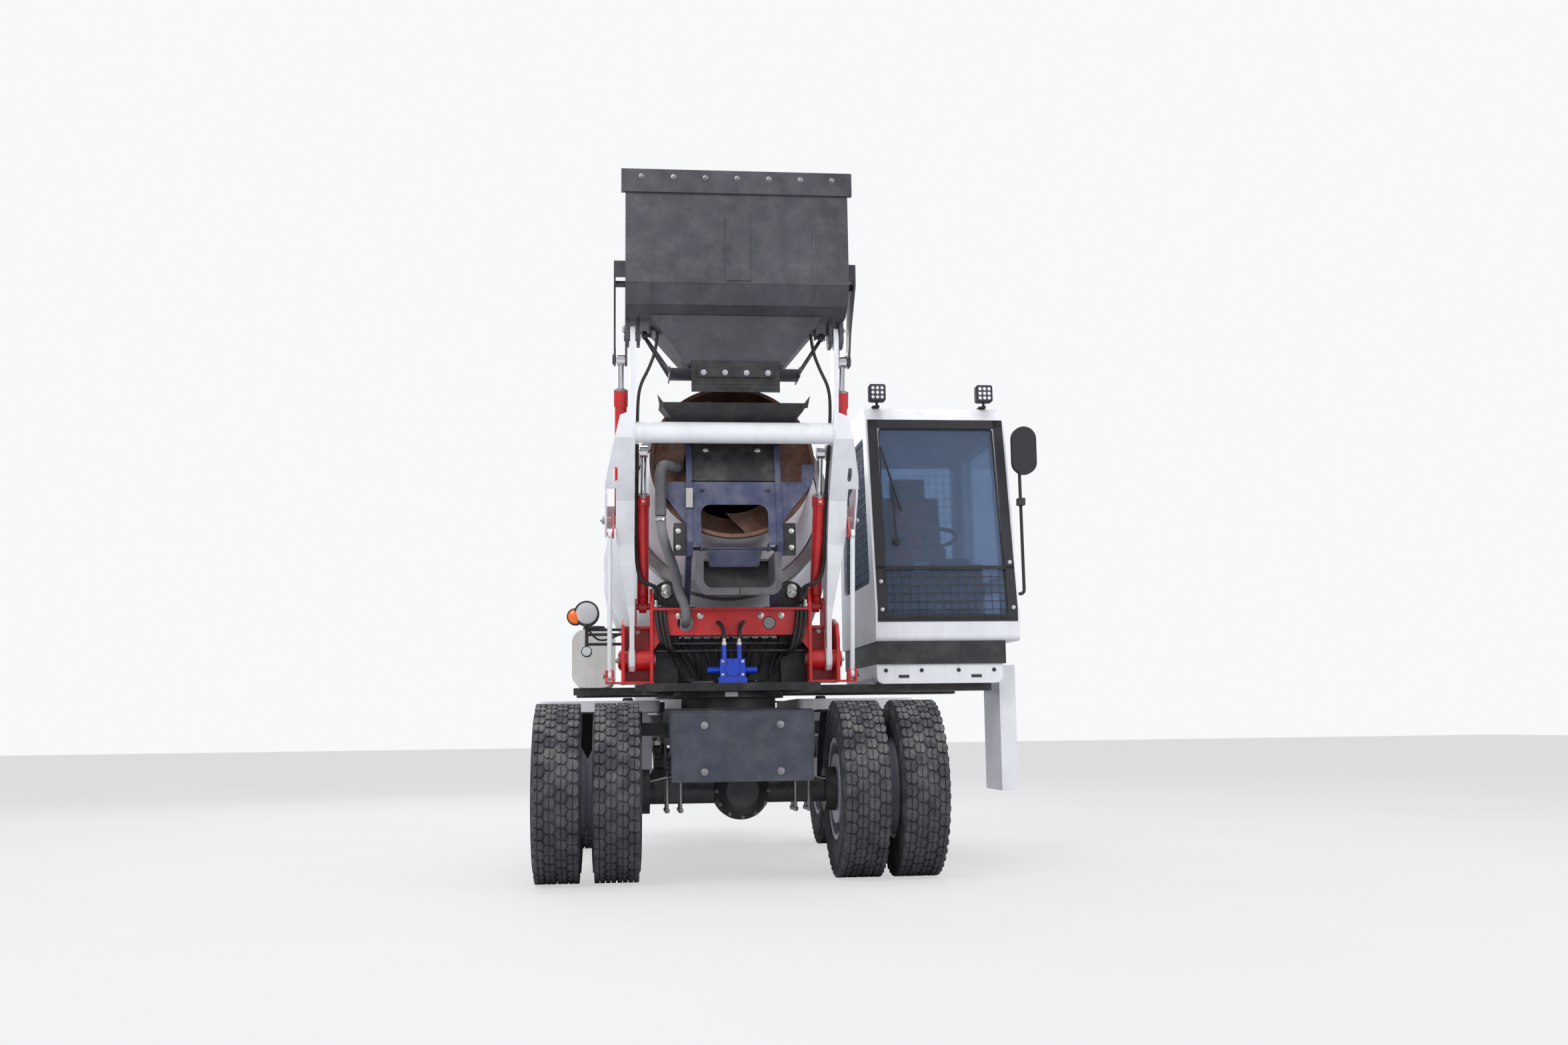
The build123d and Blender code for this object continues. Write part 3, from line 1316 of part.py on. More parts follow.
# Cab: a hollow shell whose windows are cut through its walls
front_low_y = cab_front
front_high_y = cab_front + screen_lean
cab_side = [
    (front_low_y, cab_floor),
    (front_low_y - 12, screen_bottom + 60),
    (front_high_y - 30, screen_top + 40),
    (front_high_y + 60, cab_roof),
    (cab_rear - 60, cab_roof),
    (cab_rear, cab_roof - 120),
    (cab_rear, cab_floor),
]
cab = side_plate(cab_side, cab_inner, cab_outer, corner=40)
inner_front = front_low_y + cab_wall
inner_high = front_high_y + cab_wall
inner_rear = cab_rear - cab_wall
inner_roof = cab_roof - cab_wall
cab_core = [
    (inner_front, cab_floor + cab_wall),
    (inner_front - 10, screen_bottom + 60),
    (inner_high - 34, screen_top + 10),
    (inner_high + 70, inner_roof),
    (inner_rear - 50, inner_roof),
    (inner_rear, inner_roof - 90),
    (inner_rear, cab_floor + cab_wall),
]
cab -= side_plate(cab_core, cab_inner + cab_wall, cab_outer - cab_wall, corner=30)
screen_line = [
    (cab_inner + 75, screen_bottom + 10),
    (cab_outer - 75, screen_bottom + 10),
    (cab_outer - 85, screen_top),
    (cab_inner + 85, screen_top),
]
screen = front_plate(screen_line, cab_front - 200, cab_front + screen_lean + 220, corner=30)
zone_line = [
    (cab_front - 300, cab_floor + 54),
    (inner_front + 4, cab_floor + 54),
    (inner_front - 6, screen_bottom + 60),
    (inner_high - 30, screen_top + 10),
    (inner_high, cab_roof - 40),
    (cab_front - 300, cab_roof - 40),
]
cab -= screen & side_plate(zone_line, cab_inner, cab_outer)
rear_inset = 110.0
rear_line = [
    (cab_inner + rear_inset, 1950),
    (cab_outer - rear_inset, 1950),
    (cab_outer - rear_inset, 2860),
    (cab_inner + rear_inset, 2860),
]
rear_window = front_plate(rear_line, cab_rear - cab_wall - 30, cab_rear + 30, corner=40)
cab -= rear_window
window_rear = cab_rear - 160
left_line = [(cab_front + 210, 1850), (window_rear, 1850), (window_rear, 2880), (cab_front + 390, 2880)]
left_window = side_plate(left_line, cab_inner - 10, cab_inner + cab_wall + 10, corner=40)
cab -= left_window
door_front = cab_front + 220.0
door_back = cab_rear - 140.0
door_low = cab_floor + 70.0
door_high = cab_roof - 130.0
door_slope = screen_lean - 70.0
door_knee = 1900.0
door_outline = [
    (door_front, door_low),
    (door_back, door_low),
    (door_back, door_high),
    (door_front + door_slope, door_high),
    (door_front, door_knee),
]
cab -= side_plate(door_outline, cab_outer - cab_wall - 10, cab_outer + 10, corner=40)
nodes["cab_shell"] = [cab]

door_gap = 8.0
door_inline = [
    (door_front + door_gap, door_low + door_gap),
    (door_back - door_gap, door_low + door_gap),
    (door_back - door_gap, door_high - door_gap),
    (door_front + door_slope + door_gap * 0.6, door_high - door_gap),
    (door_front + door_gap, door_knee),
]
door = side_plate(door_inline, cab_outer - cab_wall, cab_outer, corner=36)
door_rail = 80.0
door_window = [
    (door_front + 75, door_knee),
    (door_back - door_rail, door_knee),
    (door_back - door_rail, door_high - door_rail),
    (door_front + door_slope + 35, door_high - door_rail),
]
door_low_window = [
    (door_front + 75, door_low + 90),
    (door_back - door_rail, door_low + 90),
    (door_back - door_rail, door_knee - 90),
    (door_front + 75, door_knee - 90),
]
for line in (door_window, door_low_window):
    door -= side_plate(line, cab_outer - cab_wall - 10, cab_outer + 10, corner=30)
door_hinge_x = cab_outer + 16.0
door_hinge_y = door_back + 8.0
leaf_front = door_back - 60
for z in (door_low + 160, door_high - 200):
    door += Pos(door_hinge_x, door_hinge_y, z) * Cylinder(13, 90)
    door += block(cab_outer - 2, door_hinge_x, leaf_front, door_back - door_gap, z - 40, z + 40)
    door += block(cab_outer + seat_gap, door_hinge_x, leaf_front, door_hinge_y, z - 40, z + 40)
door += block(cab_outer - 2, cab_outer + 28, door_front + 40, door_front + 60, door_knee - 160, door_knee - 40)
nodes["cab_door"] = [door]
glass = 6.0
pane_x = cab_outer - cab_wall / 2
nodes["door_glass"] = [
    side_plate(line, pane_x, pane_x + glass, corner=30) for line in (door_window, door_low_window)
]

pane_line = [
    (front_low_y + 14, cab_floor + 54),
    (front_low_y + 4, screen_bottom + 60),
    (front_high_y - 14, screen_top + 30),
    (front_high_y - 8, screen_top + 30),
    (front_low_y + 12, screen_bottom + 60),
    (front_low_y + 22, cab_floor + 54),
]
rear_pane = cab_rear - 34.0
left_pane = cab_inner + 24.0
panes = [
    screen & side_plate(pane_line, cab_inner, cab_outer),
    rear_window & block(cab_inner, cab_outer, rear_pane, rear_pane + glass, cab_floor, cab_roof),
    left_window & block(left_pane, left_pane + glass, cab_front, cab_rear, cab_floor, cab_roof),
]
nodes["cab_glass"] = panes

# Cab base: the dark frame and white locker under the floor
base = block(cab_inner + 15, cab_outer - 95, cab_front + 25, cab_rear - 40, 1296, cab_floor - seat_gap)
nodes["cab_base"] = [base]
locker = block(locker_inner, locker_outer, cab_front + 40, cab_rear - 120, side_beam_top + seat_gap, 1295.7)
locker = fillet(locker.edges().filter_by(Axis.Y).sort_by(Axis.Z)[:2], 50)
nodes["cab_locker"] = [locker]

# Inside the cab: seat and steering column
seat_x = (cab_inner + cab_outer) / 2
inside_floor = cab_floor + cab_wall
seat = block(seat_x - 240, seat_x + 240, 1560, 2020, inside_floor + 330, inside_floor + 450)
seat = fillet(seat.edges().filter_by(Axis.Z), 60)
back_line = [
    (1960, inside_floor + 430),
    (2060, inside_floor + 430),
    (2190, inside_floor + 1080),
    (2110, inside_floor + 1090),
]
head_line = [
    (2120, inside_floor + 1080),
    (2185, inside_floor + 1075),
    (2215, inside_floor + 1230),
    (2150, inside_floor + 1240),
]
back = side_plate(back_line, seat_x - 225, seat_x + 225, corner=25)
head = side_plate(head_line, seat_x - 130, seat_x + 130, corner=20)
seat = seat + back + head
seat += block(seat_x - 200, seat_x + 200, 1620, 1980, inside_floor + seat_gap, inside_floor + 335)
nodes["cab_seat"] = [seat]
column_top = (seat_x, 1370, inside_floor + 690)
column = bar((seat_x, 1190, inside_floor + 12), column_top, 42)
column += block(seat_x - 70, seat_x + 70, 1130, 1250, inside_floor + seat_gap, inside_floor + 24)
wheel_plane = Plane(origin=column_top, z_dir=(0, 180, 690))
wheel_ring = wheel_plane.location * Torus(190, 14)
column += wheel_ring
column += wheel_plane.location * Pos(0, 0, 0) * Box(370, 34, 14)
column += wheel_plane.location * Pos(0, 0, 4) * Cylinder(52, 24)
console_outer = cab_outer - cab_wall - 20
console = block(console_outer - 145, console_outer, 1500, 2150, inside_floor + seat_gap, inside_floor + 520)
nodes["cab_controls"] = [column, console]

# Lamps, mirror and wiper
lamps = []
for x in (cab_inner + 90, cab_outer - 130):
    lamp = block(x - 58, x + 58, front_high_y - 30, front_high_y + 30, cab_roof + 30, cab_roof + 150)
    lamp = fillet(lamp.edges().filter_by(Axis.Y), 16)
    lamp += Pos(x, front_high_y + 10, cab_roof + 20) * Cylinder(9, 40)
    lamp += block(x - 25, x + 25, front_high_y + 40, front_high_y + 120, cab_roof + seat_gap, cab_roof + 12)
    lamp += block(x - 12, x + 12, front_high_y - 4, front_high_y + 50, cab_roof + 2, cab_roof + 10)
    lamps.append(lamp)
nodes["roof_lamps"] = lamps
mirror_x = mirror_reach - 85.0
mirror_y = cab_front + 60.0
mirror_z = 2740.0
mirror_face = extrude(SlotOverall(330, 170, rotation=90), amount=22, both=True)
mirror_head = Pos(mirror_x, mirror_y, mirror_z) * Rot(90, 0, 0) * mirror_face
arm_line = [
    (cab_outer + seat_gap, cab_front + 30, 1760),
    (cab_outer + 45, cab_front + 30, 1760),
    (cab_outer + 45, mirror_y, mirror_z - 90),
    (mirror_x, mirror_y, mirror_z - 90),
]
mirror_arm = bent_bar(arm_line, 11, 26)
nodes["mirror"] = [mirror_head + mirror_arm]
lamp_x = -900.0
lamp_y = tower_front + 60.0
lamp_z = 1610.0
head_lamp = bar((lamp_x, lamp_y - 60, lamp_z), (lamp_x, lamp_y + 50, lamp_z), 78)
head_lamp += bar((lamp_x - 70, lamp_y - 50, lamp_z - 20), (lamp_x - 70, lamp_y + 30, lamp_z - 20), 52)
head_lamp += Pos(lamp_x, lamp_y, lamp_z - 140) * Cylinder(11, 190)
head_lamp += bar((lamp_x, lamp_y - 35, lamp_z - 236), (lamp_x, lamp_y + 25, lamp_z - 236), 34)
for z in (lamp_z - 100, lamp_z - 130, lamp_z - 190):
    head_lamp += pin(-tower_outer_x - tower_plate - seat_gap, lamp_x, (lamp_y, z), 9)
nodes["head_lamp"] = [head_lamp]

# Ladder box at the cab's side
ladder_inner = 1862.0
ladder_outer = 1972.0
ladder_front = 1000.0
ladder_back = 1460.0
ladder_low = 450.0
ladder_high = 1290.0
ladder = block(ladder_inner, ladder_outer, ladder_front, ladder_back, ladder_low, ladder_high)
for low in (ladder_low + 40, ladder_low + 320, ladder_low + 600):
    ladder -= block(ladder_inner + 20, ladder_outer + 5, ladder_front + 30, ladder_back - 30, low, low + 200)
ladder += block(locker_outer + seat_gap, ladder_inner + 5, ladder_front + 40, ladder_back - 40, 1180, 1280)
nodes["ladder"] = [ladder]


# Export
os.makedirs("parts", exist_ok=True)
place = Pos(-machine_x, -machine_y, -ground_z)
for name, shapes in nodes.items():
    solids = [solid for shape in shapes for solid in (place * shape).solids()]
    part = solids[0] if len(solids) == 1 else Compound(children=solids)
    export_step(part, f"parts/{name}.step")
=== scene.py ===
"""Looks of a self-loading concrete mixer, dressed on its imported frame."""

from __future__ import annotations

import json
import logging
import math
import random
from dataclasses import dataclass, field
from enum import Enum
from typing import Iterable, Optional, Sequence

import bpy
from mathutils import Matrix, Vector

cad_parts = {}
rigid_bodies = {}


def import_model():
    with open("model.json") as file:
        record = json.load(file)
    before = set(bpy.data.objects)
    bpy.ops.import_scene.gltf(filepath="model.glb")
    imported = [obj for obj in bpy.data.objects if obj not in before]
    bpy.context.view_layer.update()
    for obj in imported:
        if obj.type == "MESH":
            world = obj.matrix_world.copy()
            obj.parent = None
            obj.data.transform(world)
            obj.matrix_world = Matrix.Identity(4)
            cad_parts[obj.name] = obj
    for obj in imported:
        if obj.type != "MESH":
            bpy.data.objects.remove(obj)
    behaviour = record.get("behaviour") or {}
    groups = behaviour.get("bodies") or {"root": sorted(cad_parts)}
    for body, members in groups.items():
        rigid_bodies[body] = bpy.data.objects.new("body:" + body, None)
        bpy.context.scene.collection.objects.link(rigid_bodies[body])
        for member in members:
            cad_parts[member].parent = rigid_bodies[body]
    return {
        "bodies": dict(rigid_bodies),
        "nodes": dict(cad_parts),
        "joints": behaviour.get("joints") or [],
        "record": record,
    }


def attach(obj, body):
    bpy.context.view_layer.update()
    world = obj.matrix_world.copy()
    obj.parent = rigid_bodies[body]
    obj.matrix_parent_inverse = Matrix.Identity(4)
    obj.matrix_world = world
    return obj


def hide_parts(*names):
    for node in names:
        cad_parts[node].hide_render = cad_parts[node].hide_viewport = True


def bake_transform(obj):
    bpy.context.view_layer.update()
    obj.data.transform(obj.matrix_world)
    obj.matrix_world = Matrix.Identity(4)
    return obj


LOG = logging.getLogger("mixer")
SHIFT = Vector((-0.46475, -1.9125, 0.0))
DRUM_TILT = math.radians(15.0)
SEED = 7

Point = Sequence[float]
Colour = tuple[float, float, float]


class Ax(Enum):
    """The way a round piece or a plate faces."""

    X = (1.0, 0.0, 0.0)
    Y = (0.0, 1.0, 0.0)
    Z = (0.0, 0.0, 1.0)


class Coat(Enum):
    """The names of the finishes on the machine."""

    WHITE = "white_enamel"
    RED = "red_enamel"
    CHARCOAL = "charcoal_enamel"
    BLACK = "black_enamel"
    SLATE = "slate_enamel"
    HOPPER = "hopper_blue_enamel"
    CHUTE = "chute_grey_enamel"
    VALVE = "valve_blue_enamel"
    RUBBER = "black_rubber"
    TYRE = "tyre_rubber"
    RIM = "rim_enamel"
    ZINC = "zinc_plate"
    CHROME = "rod_chrome"
    STEEL = "worn_steel"
    PLASTIC = "black_plastic"
    GLASS = "tinted_glass"
    CLEAR = "lamp_glass"
    AMBER = "amber_lens"
    LIGHT = "led_face"
    SEAT = "seat_cloth"
    ACCENT = "seat_red"
    RUST = "rusty_drum_steel"
    HOSE = "grey_braid"
    CAST = "cast_iron_paint"
    SPRING = "spring_steel_dark"
    TANK = "tank_plastic"
    MIRROR = "mirror_glass"
    CONCRETE = "dried_concrete"


@dataclass(frozen=True)
class Finish:
    """A finish: its colour, gloss, and the dust, grime and grain that lie on it."""

    coat: Coat
    colour: Colour
    rough: float = 0.45
    metal: float = 0.0
    mottle: float = 0.18
    mottle_scale: float = 5.0
    dust: float = 0.35
    dust_colour: Colour = (0.42, 0.40, 0.37)
    streak: float = 0.25
    grain: float = 0.12
    grain_scale: float = 90.0
    clear_coat: float = 0.0
    glow: float = 0.0
    clear: float = 0.0

    def build(self) -> bpy.types.Material:
        """Builds the finish's node material.

        Returns:
            The material, named after the coat.
        """
        made = bpy.data.materials.get(self.coat.value)
        if made:
            return made
        made = bpy.data.materials.new(self.coat.value)
        made.use_nodes = True
        tree = made.node_tree
        nodes, links = tree.nodes, tree.links
        shader = nodes["Principled BSDF"]
        place = nodes.new("ShaderNodeTexCoord")
        patches = self._noise(nodes, links, place.outputs["Object"], self.mottle_scale, 6.0)
        shades = nodes.new("ShaderNodeValToRGB")
        shades.color_ramp.elements[0].position = 0.34
        shades.color_ramp.elements[1].position = 0.68
        dark = [channel * (1.0 - self.mottle) for channel in self.colour]
        light = [min(1.0, channel * (1.0 + self.mottle * 0.7)) for channel in self.colour]
        shades.color_ramp.elements[0].color = (*dark, 1.0)
        shades.color_ramp.elements[1].color = (*light, 1.0)
        links.new(patches.outputs["Fac"], shades.inputs["Fac"])
        colour = shades.outputs["Color"]
        if self.streak:
            colour = self._streaks(nodes, links, place, colour)
        if self.dust:
            colour = self._dust(nodes, links, place, colour)
        links.new(colour, shader.inputs["Base Color"])
        shader.inputs["Metallic"].default_value = self.metal
        self._roughness(nodes, links, place, shader)
        shader.inputs["Coat Weight"].default_value = self.clear_coat
        shader.inputs["Coat Roughness"].default_value = 0.12
        if self.clear:
            shader.inputs["Transmission Weight"].default_value = self.clear
            shader.inputs["IOR"].default_value = 1.2
        if self.glow:
            shader.inputs["Emission Color"].default_value = (*self.colour, 1.0)
            shader.inputs["Emission Strength"].default_value = self.glow
        return made

    def _noise(
        self,
        nodes: bpy.types.Nodes,
        links: bpy.types.NodeLinks,
        source: bpy.types.NodeSocket,
        scale: float,
        detail: float,
    ) -> bpy.types.Node:
        """Adds a noise texture.

        Args:
            nodes: The material's nodes.
            links: The material's links.
            source: Where the pattern's place comes from.
            scale: The pattern's scale, in repeats a metre.
            detail: The pattern's depth of detail.

        Returns:
            The noise node.
        """
        noise = nodes.new("ShaderNodeTexNoise")
        noise.inputs["Scale"].default_value = scale
        noise.inputs["Detail"].default_value = detail
        noise.inputs["Roughness"].default_value = 0.62
        links.new(source, noise.inputs["Vector"])
        return noise

    def _streaks(
        self,
        nodes: bpy.types.Nodes,
        links: bpy.types.NodeLinks,
        place: bpy.types.Node,
        colour: bpy.types.NodeSocket,
    ) -> bpy.types.NodeSocket:
        """Darkens the colour along upright runs of grime.

        Args:
            nodes: The material's nodes.
            links: The material's links.
            place: The texture coordinate node.
            colour: The colour so far.

        Returns:
            The streaked colour.
        """
        stretch = nodes.new("ShaderNodeMapping")
        stretch.inputs["Scale"].default_value = (16.0, 16.0, 1.1)
        links.new(place.outputs["Object"], stretch.inputs["Vector"])
        runs = self._noise(nodes, links, stretch.outputs["Vector"], 1.0, 4.0)
        share = nodes.new("ShaderNodeMapRange")
        share.inputs["From Min"].default_value = 0.5
        share.inputs["From Max"].default_value = 0.75
        share.inputs["To Max"].default_value = self.streak
        links.new(runs.outputs["Fac"], share.inputs["Value"])
        mix = nodes.new("ShaderNodeMixRGB")
        mix.blend_type = "MULTIPLY"
        mix.inputs["Color2"].default_value = (0.42, 0.39, 0.36, 1.0)
        links.new(share.outputs["Result"], mix.inputs["Fac"])
        links.new(colour, mix.inputs["Color1"])
        return mix.outputs["Color"]

    def _dust(
        self,
        nodes: bpy.types.Nodes,
        links: bpy.types.NodeLinks,
        place: bpy.types.Node,
        colour: bpy.types.NodeSocket,
    ) -> bpy.types.NodeSocket:
        """Lays pale dust on faces that look up, and thinly elsewhere.

        Args:
            nodes: The material's nodes.
            links: The material's links.
            place: The texture coordinate node.
            colour: The colour so far.

        Returns:
            The dusty colour.
        """
        surface = nodes.new("ShaderNodeNewGeometry")
        split = nodes.new("ShaderNodeSeparateXYZ")
        links.new(surface.outputs["Normal"], split.inputs["Vector"])
        upward = nodes.new("ShaderNodeMapRange")
        upward.inputs["From Min"].default_value = -0.2
        upward.inputs["From Max"].default_value = 1.0
        upward.inputs["To Min"].default_value = 0.22
        links.new(split.outputs["Z"], upward.inputs["Value"])
        cloud = self._noise(nodes, links, place.outputs["Object"], 9.0, 9.0)
        patch = nodes.new("ShaderNodeMapRange")
        patch.inputs["From Min"].default_value = 0.42
        patch.inputs["From Max"].default_value = 0.74
        patch.inputs["To Max"].default_value = self.dust
        links.new(cloud.outputs["Fac"], patch.inputs["Value"])
        share = nodes.new("ShaderNodeMath")
        share.operation = "MULTIPLY"
        links.new(upward.outputs["Result"], share.inputs[0])
        links.new(patch.outputs["Result"], share.inputs[1])
        mix = nodes.new("ShaderNodeMixRGB")
        mix.inputs["Color2"].default_value = (*self.dust_colour, 1.0)
        links.new(share.outputs["Value"], mix.inputs["Fac"])
        links.new(colour, mix.inputs["Color1"])
        return mix.outputs["Color"]

    def _roughness(
        self,
        nodes: bpy.types.Nodes,
        links: bpy.types.NodeLinks,
        place: bpy.types.Node,
        shader: bpy.types.Node,
    ) -> None:
        """Varies the gloss and gives the surface its grain.

        Args:
            nodes: The material's nodes.
            links: The material's links.
            place: The texture coordinate node.
            shader: The shader to feed.
        """
        smudge = self._noise(nodes, links, place.outputs["Object"], 14.0, 5.0)
        gloss = nodes.new("ShaderNodeMapRange")
        gloss.inputs["To Min"].default_value = max(0.03, self.rough - 0.12)
        gloss.inputs["To Max"].default_value = min(1.0, self.rough + 0.16)
        links.new(smudge.outputs["Fac"], gloss.inputs["Value"])
        links.new(gloss.outputs["Result"], shader.inputs["Roughness"])
        if not self.grain:
            return
        grain = self._noise(nodes, links, place.outputs["Object"], self.grain_scale, 3.0)
        bump = nodes.new("ShaderNodeBump")
        bump.inputs["Strength"].default_value = self.grain
        bump.inputs["Distance"].default_value = 0.002
        links.new(grain.outputs["Fac"], bump.inputs["Height"])
        links.new(bump.outputs["Normal"], shader.inputs["Normal"])


FINISHES: dict[Coat, Finish] = {
    made.coat: made
    for made in (
        Finish(Coat.WHITE, (0.84, 0.85, 0.89), 0.34, mottle=0.04, dust=0.28, streak=0.16, clear_coat=0.2),
        Finish(Coat.RED, (0.66, 0.014, 0.017), 0.32, mottle=0.16, dust=0.2, streak=0.3, clear_coat=0.3),
        Finish(
            Coat.CHARCOAL, (0.058, 0.056, 0.071), 0.42, mottle=0.3, mottle_scale=2.6, dust=0.3, grain=0.25
        ),
        Finish(Coat.BLACK, (0.017, 0.017, 0.019), 0.42, mottle=0.3, dust=0.28),
        Finish(Coat.SLATE, (0.042, 0.048, 0.07), 0.4, mottle=0.2, dust=0.25),
        Finish(Coat.HOPPER, (0.05, 0.058, 0.13), 0.4, mottle=0.2, dust=0.4),
        Finish(Coat.CHUTE, (0.09, 0.09, 0.1), 0.5, mottle=0.25, dust=0.55),
        Finish(Coat.VALVE, (0.008, 0.06, 0.62), 0.3, mottle=0.1, dust=0.1, clear_coat=0.3),
        Finish(Coat.RUBBER, (0.016, 0.016, 0.018), 0.62, mottle=0.2, dust=0.25, streak=0.0),
        Finish(
            Coat.TYRE,
            (0.042, 0.044, 0.054),
            0.72,
            mottle=0.2,
            mottle_scale=9.0,
            dust=0.5,
            streak=0.0,
            grain=0.4
        ),
        Finish(Coat.RIM, (0.50, 0.50, 0.58), 0.38, mottle=0.1, dust=0.4),
        Finish(Coat.ZINC, (0.62, 0.61, 0.58), 0.34, metal=0.9, mottle=0.2, dust=0.15, streak=0.1),
        Finish(Coat.CHROME, (0.78, 0.78, 0.8), 0.12, metal=1.0, mottle=0.04, dust=0.0, streak=0.0, grain=0.0),
        Finish(Coat.STEEL, (0.34, 0.33, 0.34), 0.4, metal=0.8, mottle=0.35, dust=0.2),
        Finish(Coat.PLASTIC, (0.018, 0.018, 0.02), 0.5, mottle=0.15, dust=0.25, streak=0.0),
        Finish(
            Coat.GLASS, (0.36, 0.46, 0.62), 0.05, mottle=0.05, dust=0.04, streak=0.0, grain=0.0, clear=0.85
        ),
        Finish(Coat.CLEAR, (0.86, 0.87, 0.88), 0.08, mottle=0.05, dust=0.0, streak=0.0, grain=0.0, clear=0.4),
        Finish(Coat.AMBER, (0.85, 0.16, 0.02), 0.18, mottle=0.1, dust=0.05, streak=0.0, grain=0.0, glow=0.12),
        Finish(Coat.LIGHT, (0.88, 0.89, 0.9), 0.2, mottle=0.04, dust=0.0, streak=0.0, grain=0.0, glow=0.1),
        Finish(
            Coat.SEAT,
            (0.022, 0.022, 0.026),
            0.8,
            mottle=0.25,
            dust=0.1,
            streak=0.0,
            grain=0.6,
            grain_scale=600.0,
        ),
        Finish(
            Coat.ACCENT,
            (0.42, 0.03, 0.03),
            0.7,
            mottle=0.2,
            dust=0.1,
            streak=0.0,
            grain=0.5,
            grain_scale=600.0,
        ),
        Finish(Coat.RUST, (0.17, 0.075, 0.045), 0.75, mottle=0.5, mottle_scale=7.0, dust=0.4, grain=0.5),
        Finish(
            Coat.HOSE,
            (0.22, 0.22, 0.23),
            0.65,
            mottle=0.2,
            dust=0.3,
            streak=0.0,
            grain=0.6,
            grain_scale=260.0,
        ),
        Finish(Coat.CAST, (0.13, 0.13, 0.14), 0.55, mottle=0.25, dust=0.3, grain=0.4),
        Finish(Coat.SPRING, (0.06, 0.055, 0.052), 0.6, mottle=0.4, dust=0.35, grain=0.35),
        Finish(Coat.TANK, (0.66, 0.66, 0.63), 0.35, mottle=0.06, dust=0.35, streak=0.3),
        Finish(Coat.MIRROR, (0.85, 0.86, 0.88), 0.03, metal=1.0, mottle=0.0, dust=0.0, streak=0.0, grain=0.0),
        Finish(Coat.CONCRETE, (0.36, 0.34, 0.31), 0.9, mottle=0.3, mottle_scale=30.0, dust=0.2, grain=0.9),
    )
}


def here(point: Point) -> Vector:
    """Moves a point of the machine's own frame, in metres, to the row's frame."""
    return Vector(point) + SHIFT


def clear_choice() -> None:
    """Leaves edit mode and deselects everything."""
    if bpy.context.object and bpy.context.object.mode != "OBJECT":
        bpy.ops.object.mode_set(mode="OBJECT")
    bpy.ops.object.select_all(action="DESELECT")


def choose(pieces: Iterable[bpy.types.Object]) -> bpy.types.Object:
    """Selects the pieces and makes the first one active.

    Args:
        pieces: The objects to select.

    Returns:
        The active object.
    """
    clear_choice()
    chosen = list(pieces)
    for piece in chosen:
        piece.select_set(True)
    bpy.context.view_layer.objects.active = chosen[0]
    return chosen[0]


def settle(piece: bpy.types.Object) -> bpy.types.Object:
    """Puts a piece's place, turn and size into its mesh.

    Args:
        piece: The piece to settle.

    Returns:
        The same piece, at the origin.
    """
    choose([piece])
    bpy.ops.object.transform_apply(location=True, rotation=True, scale=True)
    return piece


def apply_modifier(piece: bpy.types.Object, kind: str, **settings: object) -> None:
    """Adds a modifier, sets it and applies it.

    Args:
        piece: The piece to work on.
        kind: The modifier's type.
        settings: The modifier's properties.
    """
    choose([piece])
    modifier = piece.modifiers.new(kind.lower(), kind)
    for name, value in settings.items():
        setattr(modifier, name, value)
    bpy.ops.object.modifier_apply(modifier=modifier.name)


def bevelled(piece: bpy.types.Object, width: float, segments: int = 2) -> bpy.types.Object:
    """Rounds a piece's sharp edges.

    Args:
        piece: The piece to work on.
        width: The bevel's width.
        segments: The bevel's steps.

    Returns:
        The same piece.
    """
    apply_modifier(piece, "BEVEL", width=width, segments=segments, limit_method="ANGLE", angle_limit=0.6)
    return piece


def smooth(piece: bpy.types.Object, angle: float = 35.0) -> bpy.types.Object:
    """Shades a piece smooth up to an angle.

    Args:
        piece: The piece to shade.
        angle: The angle, in degrees.

    Returns:
        The same piece.
    """
    choose([piece])
    bpy.ops.object.shade_smooth_by_angle(angle=math.radians(angle))
    return piece


def block(low: Point, high: Point, bevel: float = 0.004) -> bpy.types.Object:
    """A bevelled block between two corners.

    Args:
        low: One corner, in the machine's frame.
        high: The other corner.
        bevel: The edge rounding.

    Returns:
        The block.
    """
    clear_choice()
    middle = (Vector(low) + Vector(high)) / 2
    size = [abs(b - a) for a, b in zip(low, high)]
    bpy.ops.mesh.primitive_cube_add(size=1.0, location=here(middle), scale=size)
    piece = settle(bpy.context.object)
    if bevel:
        bevelled(piece, min(bevel, min(size) * 0.4))
    return piece


def rod(start: Point, end: Point, radius: float, sides: int = 20, bevel: float = 0.002) -> bpy.types.Object:
    """A round bar between two points.

    Args:
        start: One end, in the machine's frame.
        end: The other end.
        radius: The bar's radius.
        sides: How many flats the bar has.
        bevel: The rounding of its end edges.

    Returns:
        The bar.
    """
    clear_choice()
    run = Vector(end) - Vector(start)
    turn = run.to_track_quat("Z", "Y").to_euler()
    middle = here(Vector(start) + run / 2)
    bpy.ops.mesh.primitive_cylinder_add(
        vertices=sides, radius=radius, depth=run.length, location=middle, rotation=turn
    )
    piece = settle(bpy.context.object)
    if bevel:
        bevelled(piece, min(bevel, radius * 0.3, run.length * 0.3), 2)
    return smooth(piece)


